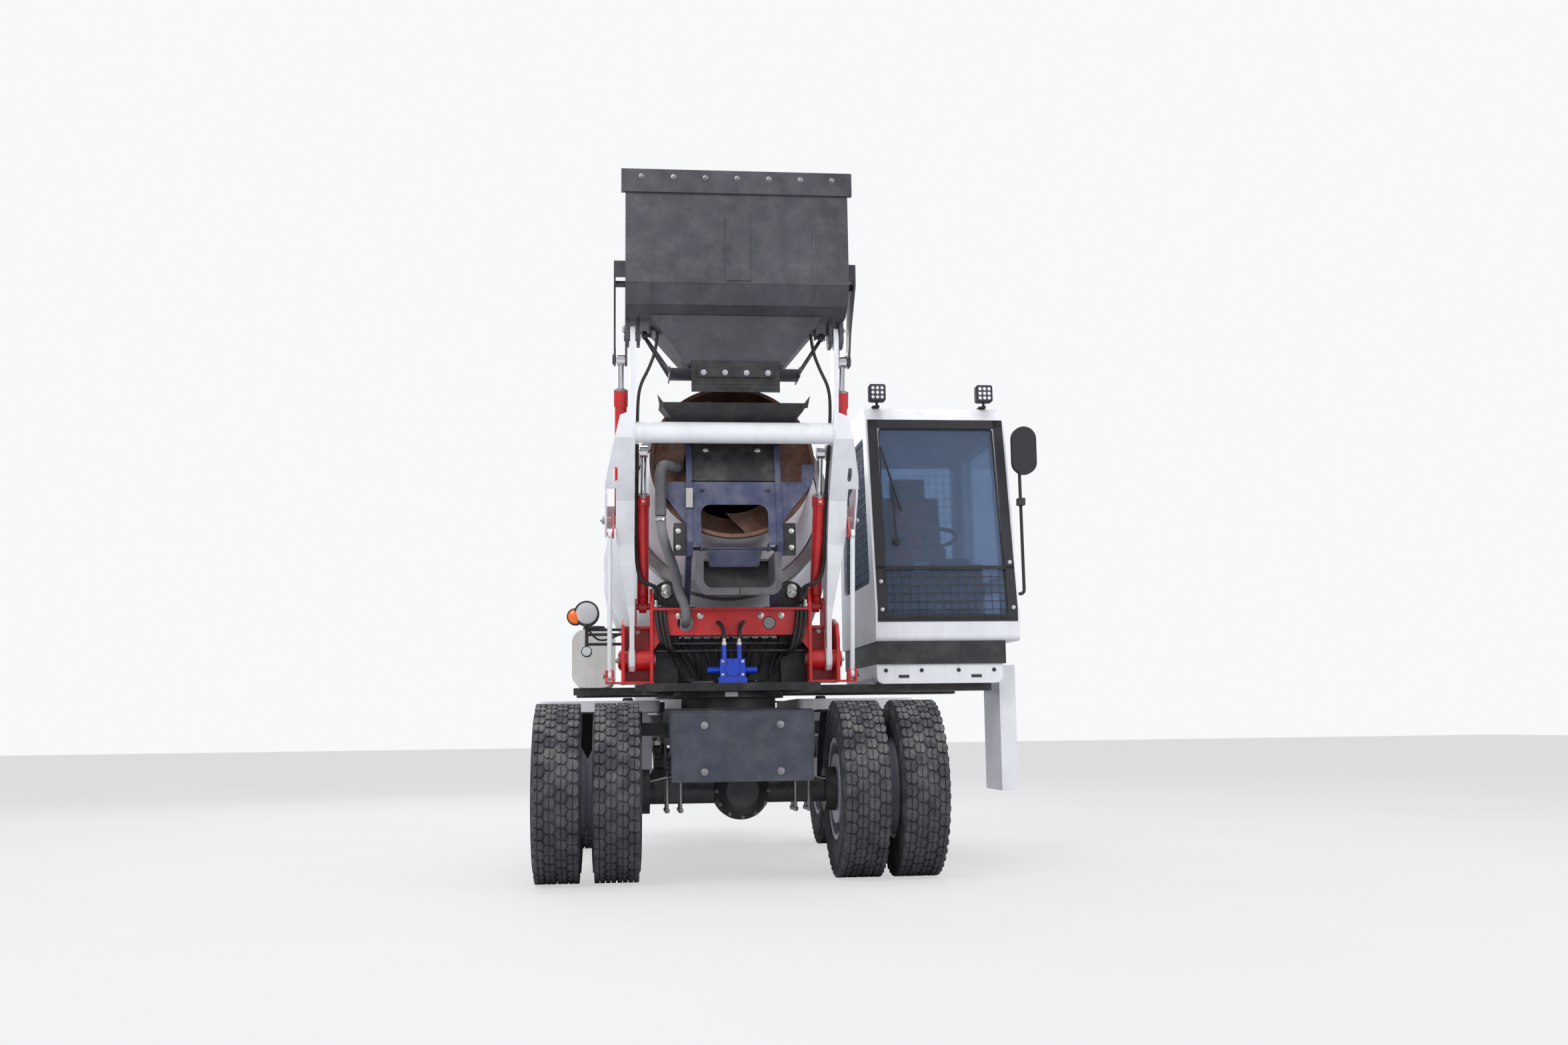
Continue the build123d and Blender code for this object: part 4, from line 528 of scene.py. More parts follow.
def plate(
    points: Sequence[tuple[float, float]], face: Ax, a: float, b: float, bevel: float = 0.002
) -> bpy.types.Object:
    """A plate cut to an outline and extruded.

    Args:
        points: The outline, in the two axes other than face, in X, Y, Z order.
        face: The axis the plate is extruded along.
        a: Where it starts along that axis.
        b: Where it ends.
        bevel: The edge rounding.

    Returns:
        The plate.
    """
    clear_choice()
    bpy.ops.mesh.primitive_circle_add(vertices=len(points), fill_type="NGON")
    piece = bpy.context.object
    for vertex, (p, q) in zip(piece.data.vertices, points):
        spot = {Ax.X: (a, p, q), Ax.Y: (p, a, q), Ax.Z: (p, q, a)}[face]
        vertex.co = here(spot)
    bpy.ops.object.mode_set(mode="EDIT")
    bpy.ops.mesh.select_all(action="SELECT")
    shift = Vector(face.value) * (b - a)
    bpy.ops.mesh.extrude_region_move(TRANSFORM_OT_translate={"value": shift})
    bpy.ops.mesh.select_all(action="SELECT")
    bpy.ops.mesh.normals_make_consistent(inside=False)
    bpy.ops.object.mode_set(mode="OBJECT")
    if bevel:
        bevelled(piece, bevel)
    return piece


def turned(
    profile: Sequence[tuple[float, float]], centre: Point, along: Point, steps: int = 48
) -> bpy.types.Object:
    """A round piece spun from a closed profile.

    Args:
        profile: Points of (distance along the axis, radius).
        centre: The profile's zero, in the machine's frame.
        along: The axis.
        steps: How many steps the turn has.

    Returns:
        The piece.
    """
    clear_choice()
    bpy.ops.mesh.primitive_circle_add(vertices=len(profile), fill_type="NOTHING")
    piece = bpy.context.object
    for vertex, (far, radius) in zip(piece.data.vertices, profile):
        vertex.co = (radius, 0.0, far)
    bpy.ops.object.mode_set(mode="EDIT")
    bpy.ops.mesh.select_all(action="SELECT")
    bpy.ops.mesh.spin(steps=steps, angle=2 * math.pi, center=(0, 0, 0), axis=(0, 0, 1))
    bpy.ops.mesh.select_all(action="SELECT")
    bpy.ops.mesh.remove_doubles(threshold=0.00005)
    bpy.ops.mesh.normals_make_consistent(inside=False)
    bpy.ops.object.mode_set(mode="OBJECT")
    piece.rotation_euler = Vector(along).to_track_quat("Z", "Y").to_euler()
    piece.location = here(centre)
    return smooth(settle(piece), 32.0)


def tube(points: Sequence[Point], radius: float, order: int = 3) -> bpy.types.Object:
    """A pipe or hose along a smooth route.

    Args:
        points: The route's control points, in the machine's frame.
        radius: The pipe's radius.
        order: The route's spline order.

    Returns:
        The pipe as a mesh.
    """
    clear_choice()
    line = bpy.data.curves.new("route", "CURVE")
    line.dimensions = "3D"
    spline = line.splines.new("NURBS")
    spline.points.add(len(points) - 1)
    for spot, point in zip(spline.points, points):
        spot.co = (*here(point), 1.0)
    spline.order_u = min(order, len(points))
    spline.use_endpoint_u = True
    line.resolution_u = 8
    line.bevel_depth = radius
    line.bevel_resolution = 4
    line.use_fill_caps = True
    piece = bpy.data.objects.new("route", line)
    bpy.context.scene.collection.objects.link(piece)
    choose([piece])
    bpy.ops.object.convert(target="MESH")
    return smooth(bpy.context.object, 60.0)


def joined(pieces: Sequence[bpy.types.Object]) -> bpy.types.Object:
    """Joins pieces into one object.

    Args:
        pieces: The pieces, at least one.

    Returns:
        The first piece, which now holds them all.
    """
    first = choose(pieces)
    if len(pieces) > 1:
        bpy.ops.object.join()
    return first


def copied(piece: bpy.types.Object, move: Matrix) -> bpy.types.Object:
    """Copies a piece with a mesh of its own and moves the copy.

    Args:
        piece: The piece to copy.
        move: The move, in the row's frame.

    Returns:
        The copy.
    """
    other = piece.copy()
    other.data = piece.data.copy()
    bpy.context.scene.collection.objects.link(other)
    other.data.transform(move)
    if move.determinant() < 0:
        other.data.flip_normals()
    return other


def across(piece: bpy.types.Object) -> bpy.types.Object:
    """Mirrors a copy of a piece across the machine's middle.

    Args:
        piece: The piece to copy.

    Returns:
        The mirrored copy.
    """
    flip = Matrix.Translation(SHIFT) @ Matrix.Diagonal((-1, 1, 1, 1)) @ Matrix.Translation(-SHIFT)
    return copied(piece, flip)


def both(piece: bpy.types.Object) -> bpy.types.Object:
    """Joins a piece with its mirror image."""
    return joined([piece, across(piece)])


def bolt_heads(places: Sequence[Point], face: Point, size: float) -> bpy.types.Object:
    """Hexagon bolt heads on washers.

    Args:
        places: Where the heads sit, in the machine's frame.
        face: The way the heads look.
        size: The head's radius.

    Returns:
        All the heads as one piece.
    """
    heads = []
    turn = Vector(face).to_track_quat("Z", "Y").to_matrix().to_4x4()
    washer = rod((0, 0, -size * 0.1), (0, 0, size * 0.22), size * 1.35, 14, 0.0006)
    head = rod((0, 0, size * 0.2), (0, 0, size * 0.95), size, 6, size * 0.12)
    stud = rod((0, 0, size * 0.9), (0, 0, size * 1.25), size * 0.5, 10, size * 0.1)
    first = joined([washer, head, stud])
    first.data.transform(Matrix.Translation(-SHIFT))
    for place in places:
        heads.append(copied(first, Matrix.Translation(here(place)) @ turn))
    bpy.data.objects.remove(first)
    return joined(heads)


def ring_places(centre: Point, radius: float, count: int, face: Ax, start: float = 0.0) -> list[Vector]:
    """Places around a circle.

    Args:
        centre: The circle's centre.
        radius: Its radius.
        count: How many places.
        face: The circle's axis.
        start: The first place's angle.

    Returns:
        The places.
    """
    spots = []
    for index in range(count):
        turn = start + 2 * math.pi * index / count
        p, q = radius * math.cos(turn), radius * math.sin(turn)
        offset = {Ax.X: (0, p, q), Ax.Y: (p, 0, q), Ax.Z: (p, q, 0)}[face]
        spots.append(Vector(centre) + Vector(offset))
    return spots


@dataclass
class Workshop:
    """Names, coats and mounts the finished pieces."""

    frame: dict
    made: int = 0

    def fit(
        self, piece: bpy.types.Object, name: str, coat: Coat, body: str, slot: Optional[str] = None
    ) -> bpy.types.Object:
        """Finishes a piece and makes it ride on a body.

        Args:
            piece: The piece.
            name: Its name.
            coat: Its finish.
            body: The body it moves with.
            slot: The record's material slot; not used.

        Returns:
            The piece.
        """
        piece.name = name
        piece.data.name = name
        piece.data.materials.clear()
        piece.data.materials.append(FINISHES[coat].build())
        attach(piece, body)
        self.made += 1
        LOG.info("fitted %s on %s", name, body)
        return piece

    def bend(self, piece: bpy.types.Object, name: str, coat: Coat, ends: Sequence[tuple[str, Point]]) -> None:
        """Finishes a hose that crosses a joint and leaves it where it lies, riding on no body.

        Args:
            piece: The hose.
            name: Its name.
            coat: Its finish.
            ends: The body and the place at each of its ends; not used.
        """
        piece.name = name
        piece.data.name = name
        piece.data.materials.clear()
        piece.data.materials.append(FINISHES[coat].build())
        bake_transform(piece)
        self.made += 1

    def coat_node(self, node: str, coat: Coat) -> None:
        """Gives a CAD node its finish.

        Args:
            node: The node's name.
            coat: The finish.
        """
        target = self.frame["nodes"][node]
        material = FINISHES[coat].build()
        if not target.material_slots:
            target.data.materials.append(material)
        for place in target.material_slots:
            place.material = material


@dataclass
class Wheels:
    """Tyres with ribs and lugs, and the trim of the rims."""

    shop: Workshop
    tread_radius: float = 0.5235
    groove_depth: float = 0.014
    half_width: float = 0.1415
    bead: float = 0.290
    slit: float = 0.0018
    steps: int = 96
    lugs: int = 46
    axle_z: float = 0.525

    def carcass(self) -> bpy.types.Object:
        """Spins the casing with its grooves and side ribs, about the origin along X."""
        base = self.tread_radius - self.groove_depth
        half = self.half_width
        outline = [
            (-0.112, self.bead),
            (-0.119, self.bead + 0.016),
            (-0.131, self.bead + 0.022),
            (-0.136, self.bead + 0.05),
            (-half + 0.001, self.bead + 0.09),
            (-half, self.bead + 0.125),
            (-half + 0.003, self.bead + 0.15),
            (-half + 0.006, base - 0.052),
            (-half + 0.012, base - 0.032),
            (-half + 0.022, base - 0.008),
            (-0.104, base),
            (-0.052, base + 0.002),
            (0.0, base + 0.002),
        ]
        mirror = [(-x, r) for x, r in reversed(outline[:-1])]
        whole = outline + mirror
        ring = turned(whole, (0, 0, 0), (1, 0, 0), self.steps)
        ring.data.transform(Matrix.Translation(-SHIFT))
        return ring

    def half_lug(self, outline: Sequence[tuple[float, float]], low: float) -> bpy.types.Object:
        """Makes one half of a tread block at the top of the tyre.

        Args:
            outline: Its corners, across the tread and round it.
            low: The radius where it starts.

        Returns:
            The half block.
        """
        half = plate(outline, Ax.Z, low, self.tread_radius, 0.0016)
        half.data.transform(Matrix.Translation(-SHIFT))
        return half

    def column(self, middle: float, reach: float, turn: float, low: float) -> list[bpy.types.Object]:
        """Makes a column of split six-sided blocks round the tread.

        Args:
            middle: The column's place across the tread.
            reach: Half of the block's width.
            turn: The part of a pitch by which the column is moved round.
            low: The radius where the blocks start.

        Returns:
            The blocks.
        """
        near, far = self.slit, reach
        first = self.half_lug(
            [
                (near, -0.031),
                (far * 0.62, -0.031),
                (far, -0.011),
                (far, 0.013),
                (far * 0.62, 0.029),
                (near, 0.024),
            ],
            low
        )
        second = self.half_lug(
            [
                (-near, 0.031),
                (-far * 0.62, 0.031),
                (-far, 0.011),
                (-far, -0.013),
                (-far * 0.62, -0.029),
                (-near, -0.024),
            ],
            low,
        )
        pair = joined([first, second])
        blocks = []
        for index in range(self.lugs):
            spin = Matrix.Rotation(2 * math.pi * (index + turn) / self.lugs, 4, "X")
            blocks.append(copied(pair, spin @ Matrix.Translation((middle, 0, 0))))
        bpy.data.objects.remove(pair)
        return blocks

    def tread(self) -> bpy.types.Object:
        """Makes the tread's four columns of interlocking blocks."""
        base = self.tread_radius - self.groove_depth - 0.003
        blocks = []
        for middle, reach, turn, low in (
            (-0.098, 0.031, 0.5, base - 0.030),
            (-0.033, 0.029, 0.0, base),
            (0.033, 0.029, 0.5, base),
            (0.098, 0.031, 0.0, base - 0.030),
        ):
            blocks.extend(self.column(middle, reach, turn, low))
        return joined(blocks)

    def side_marks(self) -> bpy.types.Object:
        """Makes the fine raised rings on the side walls."""
        rings = []
        for side in (-1, 1):
            for radius, out in ((0.345, 0.1365), (0.40, 0.1405), (0.462, 0.1362)):
                clear_choice()
                bpy.ops.mesh.primitive_torus_add(
                    major_radius=radius,
                    minor_radius=0.0022,
                    major_segments=96,
                    minor_segments=6,
                    rotation=(0, math.pi / 2, 0)
                )
                ring = settle(bpy.context.object)
                ring.data.transform(Matrix.Translation((side * out, 0, 0)))
                rings.append(smooth(ring, 60))
        return joined(rings)

    def rim_trim(self) -> bpy.types.Object:
        """Makes a rim's wheel nuts.

        Returns:
            The nuts, as one piece.
        """
        spots = ring_places((0, 0, 0), 0.142, 10, Ax.X)
        nuts = bolt_heads(spots, (1, 0, 0), 0.015)
        nuts.data.transform(Matrix.Translation(-SHIFT))
        return nuts

    def build(self) -> None:
        """Builds every tyre and rim trim and puts each on its body."""
        whole = joined([self.carcass(), self.tread(), self.side_marks()])
        nuts = self.rim_trim()
        rows = (
            ("front", (-1.058, -0.713), 0.0, "front_wheels_left", "front_tyres_left"),
            ("front", (0.713, 1.058), 0.0, "front_wheels_right", "front_tyres_right"),
            ("rear", (-0.95,), 2.7, "rear_wheel_left", "rear_tyre_left"),
            ("rear", (0.95,), 2.7, "rear_wheel_right", "rear_tyre_right"),
        )
        for word, places, y, body, node in rows:
            pair = [copied(whole, Matrix.Translation(here((x, y, self.axle_z)))) for x in places]
            tyres = self.shop.fit(joined(pair), f"{node}_tread", Coat.TYRE, body, "tyre")
            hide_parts(node)
            side = 1 if places[0] > 0 else -1
            out = 1.02 if word == "front" else 1.006
            flip = Matrix.Identity(4) if side > 0 else Matrix.Rotation(math.pi, 4, "Z")
            spot = Matrix.Translation(here((side * (out if word == "front" else 0.951), y, self.axle_z)))
            self.shop.fit(
                copied(nuts, spot @ flip), f"{word}_nuts_{'right' if side > 0 else 'left'}", Coat.ZINC, body
            )
        for spare in (whole, nuts):
            bpy.data.objects.remove(spare)
        for node in ("front_rims_right", "front_rims_left", "rear_rim_right", "rear_rim_left"):
            self.shop.coat_node(node, Coat.RIM)


@dataclass
class Studio:
    """The floor, backdrop, lamps and camera."""

    lens_mm: float = 36.18
    eye: Point = (-0.73, -9.5, 0.91)
    yaw: float = 6.2
    pitch: float = 7.3
    roll: float = 0.74
    pale: Colour = (0.90, 0.91, 0.92)
    glow_share: float = 0.62

    def floor(self) -> None:
        """Lays a pale flat floor under and behind the machine."""
        clear_choice()
        bpy.ops.mesh.primitive_plane_add(size=80.0, location=(0, 20.0, 0))
        ground = bpy.context.object
        ground.name = "floor"
        settle(ground)
        material = bpy.data.materials.new("pale_floor")
        material.use_nodes = True
        tree = material.node_tree
        shader = tree.nodes["Principled BSDF"]
        place = tree.nodes.new("ShaderNodeTexCoord")
        noise = tree.nodes.new("ShaderNodeTexNoise")
        noise.inputs["Scale"].default_value = 0.6
        ramp = tree.nodes.new("ShaderNodeValToRGB")
        ramp.color_ramp.elements[0].color = (0.62, 0.62, 0.63, 1)
        ramp.color_ramp.elements[1].color = (0.70, 0.70, 0.71, 1)
        tree.links.new(place.outputs["Object"], noise.inputs["Vector"])
        tree.links.new(noise.outputs["Fac"], ramp.inputs["Fac"])
        tree.links.new(ramp.outputs["Color"], shader.inputs["Base Color"])
        shader.inputs["Roughness"].default_value = 0.85
        glow = tree.nodes.new("ShaderNodeEmission")
        glow.inputs["Color"].default_value = (*self.pale, 1.0)
        seen = tree.nodes.new("ShaderNodeLightPath")
        share = tree.nodes.new("ShaderNodeMath")
        share.operation = "MULTIPLY"
        share.inputs[1].default_value = self.glow_share
        mix = tree.nodes.new("ShaderNodeMixShader")
        tree.links.new(seen.outputs["Is Camera Ray"], share.inputs[0])
        tree.links.new(share.outputs["Value"], mix.inputs["Fac"])
        tree.links.new(shader.outputs["BSDF"], mix.inputs[1])
        tree.links.new(glow.outputs["Emission"], mix.inputs[2])
        tree.links.new(mix.outputs["Shader"], tree.nodes["Material Output"].inputs["Surface"])
        ground.data.materials.append(material)

    def world(self) -> None:
        """Lights the scene softly all round."""
        world = bpy.data.worlds.new("studio")
        world.use_nodes = True
        shade = world.node_tree.nodes["Background"]
        shade.inputs["Color"].default_value = (0.92, 0.95, 1.0, 1)
        shade.inputs["Strength"].default_value = 0.62
        seen = world.node_tree.nodes.new("ShaderNodeBackground")
        seen.inputs["Color"].default_value = (0.93, 0.94, 0.955, 1)
        seen.inputs["Strength"].default_value = 1.0
        path = world.node_tree.nodes.new("ShaderNodeLightPath")
        either = world.node_tree.nodes.new("ShaderNodeMath")
        either.operation = "MAXIMUM"
        mix = world.node_tree.nodes.new("ShaderNodeMixShader")
        links = world.node_tree.links
        links.new(path.outputs["Is Camera Ray"], either.inputs[0])
        links.new(path.outputs["Is Transmission Ray"], either.inputs[1])
        links.new(either.outputs["Value"], mix.inputs["Fac"])
        links.new(shade.outputs["Background"], mix.inputs[1])
        links.new(seen.outputs["Background"], mix.inputs[2])
        links.new(mix.outputs["Shader"], world.node_tree.nodes["World Output"].inputs["Surface"])
        bpy.context.scene.world = world

    def lamp(self, name: str, spot: Point, aim: Point, size: float, power: float) -> None:
        """Hangs a soft square lamp.

        Args:
            name: The lamp's name.
            spot: Where it hangs.
            aim: What it looks at.
            size: Its side.
            power: Its power in watts.
        """
        clear_choice()
        turn = (Vector(aim) - Vector(spot)).to_track_quat("-Z", "Y").to_euler()
        bpy.ops.object.light_add(type="AREA", location=here(spot), rotation=turn)
        lamp = bpy.context.object
        lamp.name = name
        lamp.data.shape = "SQUARE"
        lamp.data.size = size
        lamp.data.energy = power

    def camera(self) -> None:
        """Stands the camera where the photograph was taken."""
        yaw, pitch = math.radians(self.yaw), math.radians(self.pitch)
        look = Vector((math.sin(yaw) * math.cos(pitch), math.cos(yaw) * math.cos(pitch), math.sin(pitch)))
        data = bpy.data.cameras.new("camera")
        data.sensor_width = 36.0
        data.lens = self.lens_mm
        data.clip_end = 400.0
        camera = bpy.data.objects.new("camera", data)
        bpy.context.scene.collection.objects.link(camera)
        turn = look.to_track_quat("-Z", "Y").to_matrix() @ Matrix.Rotation(-math.radians(self.roll), 3, "Z")
        camera.matrix_world = Matrix.Translation(here(self.eye)) @ turn.to_4x4()
        bpy.context.scene.camera = camera

    def build(self) -> None:
        """Builds the studio."""
        scene = bpy.context.scene
        scene.view_settings.view_transform = "Standard"
        self.floor()
        self.world()
        self.lamp("key", (-5.5, -8.5, 9.0), (0, 0.5, 1.6), 6.0, 620.0)
        self.lamp("fill", (7.5, -7.0, 5.0), (0, 0.5, 1.6), 6.0, 300.0)
        self.lamp("top", (0.0, 2.0, 11.0), (0, 1.0, 1.0), 7.0, 420.0)
        self.lamp("back", (-3.0, 10.0, 7.0), (0, 1.0, 1.6), 6.0, 300.0)
        self.camera()


def drum_place(x: float, up: float, along: float) -> Vector:
    """A place in the machine's frame from the drum's own.

    Args:
        x: How far to the right of the axis.
        up: How far above the axis.
        along: How far along the axis from the mouth.

    Returns:
        The place.
    """
    way = Vector((0, math.cos(DRUM_TILT), -math.sin(DRUM_TILT)))
    rise = Vector((0, math.sin(DRUM_TILT), math.cos(DRUM_TILT)))
    return Vector((x, 0.150, 2.540)) + way * along + rise * up


def fitting(spot: Point, way: Point, size: float) -> bpy.types.Object:
    """A hydraulic fitting: a hexagon nut and its collar.

    Args:
        spot: Where it starts.
        way: The way it points.
        size: The nut's radius.

    Returns:
        The fitting.
    """
    run = Vector(way).normalized()
    start = Vector(spot)
    nut = rod(start, start + run * size * 1.3, size, 6, size * 0.1)
    collar = rod(start + run * size * 1.2, start + run * size * 2.8, size * 0.72, 16, size * 0.08)
    return joined([nut, collar])


def ring(centre: Point, radius: float, thickness: float, face: Point, steps: int = 64) -> bpy.types.Object:
    """A round bead, grommet or lens rim.

    Args:
        centre: The ring's centre.
        radius: The ring's radius.
        thickness: The bead's own radius.
        face: The ring's axis.
        steps: How many steps the ring has.

    Returns:
        The ring.
    """
    clear_choice()
    turn = Vector(face).to_track_quat("Z", "Y").to_euler()
    bpy.ops.mesh.primitive_torus_add(
        major_radius=radius,
        minor_radius=thickness,
        major_segments=steps,
        minor_segments=8,
        location=here(centre),
        rotation=turn,
    )
    return smooth(settle(bpy.context.object), 60.0)


def edging(points: Sequence[Point], radius: float) -> bpy.types.Object:
    """A rubber edge along straight runs round a window or panel.

    Args:
        points: The corners, in order.
        radius: The edge's radius.

    Returns:
        The edge, as one piece.
    """
    runs = []
    for start, end in zip(points, [*points[1:], points[0]]):
        runs.append(rod(start, end, radius, 10, 0.0))
    return joined(runs)


def grid(low: Point, high: Point, pitch: float, radius: float, lean: float = 0.0) -> bpy.types.Object:
    """A wire grid in a plane across Y, leaning back as it rises.

    Args:
        low: The low left corner.
        high: The high right corner.
        pitch: The space between wires.
        radius: The wire's radius.
        lean: How far it goes back for each metre up.

    Returns:
        The grid.
    """
    wires = []
    columns = max(1, round((high[0] - low[0]) / pitch))
    rows = max(1, round((high[2] - low[2]) / pitch))
    rise = high[2] - low[2]
    for index in range(columns + 1):
        x = low[0] + (high[0] - low[0]) * index / columns
        wires.append(rod((x, low[1], low[2]), (x, low[1] + rise * lean, high[2]), radius, 6, 0.0))
    for index in range(rows + 1):
        up = rise * index / rows
        y = low[1] + up * lean - radius
        wires.append(rod((low[0], y, low[2] + up), (high[0], y, low[2] + up), radius, 6, 0.0))
    return joined(wires)


@dataclass
class BucketTrim:
    """Seams, strips, bolts and fittings on the bucket and its flap."""

    shop: Workshop
    fold_z: float = 3.51
    fold_y: float = -0.430
    top_z: float = 4.165
    top_y: float = -0.418

    def face_y(self, z: float) -> float:
        """The bucket's front face at a height.

        Args:
            z: The height.

        Returns:
            The face's y.
        """
        share = (z - self.fold_z) / (self.top_z - self.fold_z)
        return self.fold_y + (self.top_y - self.fold_y) * share

    def seams(self) -> None:
        """Lays the weld seams and the middle strip on the front face."""
        beads = []
        for x in (-0.505, 0.458):
            start = (x, self.face_y(self.fold_z) - 0.001, self.fold_z)
            end = (x, self.face_y(3.95) - 0.001, 3.95)
            beads.append(rod(start, end, 0.0045, 8, 0.0))
            beads.append(rod((x, -0.3555, 3.402), start, 0.0045, 8, 0.0))
        beads.append(rod((-0.66, -0.3545, 3.4), (0.66, -0.3545, 3.4), 0.004, 8, 0.0))
        beads.append(rod((-0.66, self.fold_y, self.fold_z), (0.66, self.fold_y, self.fold_z), 0.003, 8, 0.0))
        self.shop.fit(joined(beads), "bucket_seams", Coat.CHARCOAL, "loading_bucket")
        low, high = 3.525, 3.93
        strip = [
            (self.face_y(low) - 0.007, low),
            (self.face_y(low) + 0.002, low),
            (self.face_y(high) + 0.002, high),
            (self.face_y(high) - 0.007, high),
        ]
        self.shop.fit(plate(strip, Ax.X, -0.074, 0.074), "bucket_strip", Coat.CHARCOAL, "loading_bucket")
        edge = []
        for index in range(7):
            edge.append((-0.57 + 0.19 * index, -0.436, 4.155))
        self.shop.fit(bolt_heads(edge, (0, -1, 0), 0.012), "edge_bolts", Coat.STEEL, "loading_bucket")

    def flap(self) -> None:
        """Puts the clamp's bolts and the flap's fabric lines."""
        bolts = [(x, -0.1985, 3.021) for x in (-0.195, -0.065, 0.065, 0.195)]
        self.shop.fit(bolt_heads(bolts, (0, -1, 0), 0.013), "flap_bolts", Coat.RIM, "loading_bucket")
        lines = [rod((-0.262, -0.1865, z), (0.262, -0.1865, z), 0.0018, 6, 0.0) for z in (2.925, 2.95, 2.975)]
        self.shop.fit(joined(lines), "flap_lines", Coat.RUBBER, "loading_bucket")

    def pins(self) -> None:
        """Puts the pin keepers on the bucket's hangers and ears."""
        caps = []
        for place, x, size in (((-0.1, 3.26), 0.665, 0.030), ((0.08, 3.16), 0.7185, 0.026)):
            caps.append(rod((x, *place), (x + 0.008, *place), size, 24, 0.002))
            keeper = (x + 0.002, place[0] - 0.055, place[1] + 0.035)
            caps.append(block(keeper, (x + 0.008, place[0] + 0.055, place[1] + 0.055), 0.001))
        bolts = bolt_heads([(0.673, -0.14, 3.305), (0.673, -0.06, 3.305)], (1, 0, 0), 0.009)
        whole = both(joined(caps))
        self.shop.fit(whole, "bucket_pin_caps", Coat.STEEL, "loading_bucket")
        self.shop.fit(both(bolts), "bucket_pin_bolts", Coat.ZINC, "loading_bucket")
        ports = [
            fitting((0.470, -0.09, 3.335), (0, -0.4, -1), 0.017),
            fitting((0.470, 0.03, 3.335), (0, 0.3, -1), 0.017),
        ]
        self.shop.fit(both(joined(ports)), "gate_ports", Coat.ZINC, "loading_bucket")
        rings = [ring((0.552 + side * 0.016, -0.015, 3.29), 0.019, 0.003, (1, 0, 0), 24) for side in (-1, 1)]
        self.shop.fit(both(joined(rings)), "gate_pin_rings", Coat.STEEL, "bucket_gate")

    def build(self) -> None:
        """Builds the bucket's trim."""
        self.seams()
        self.flap()
        self.pins()


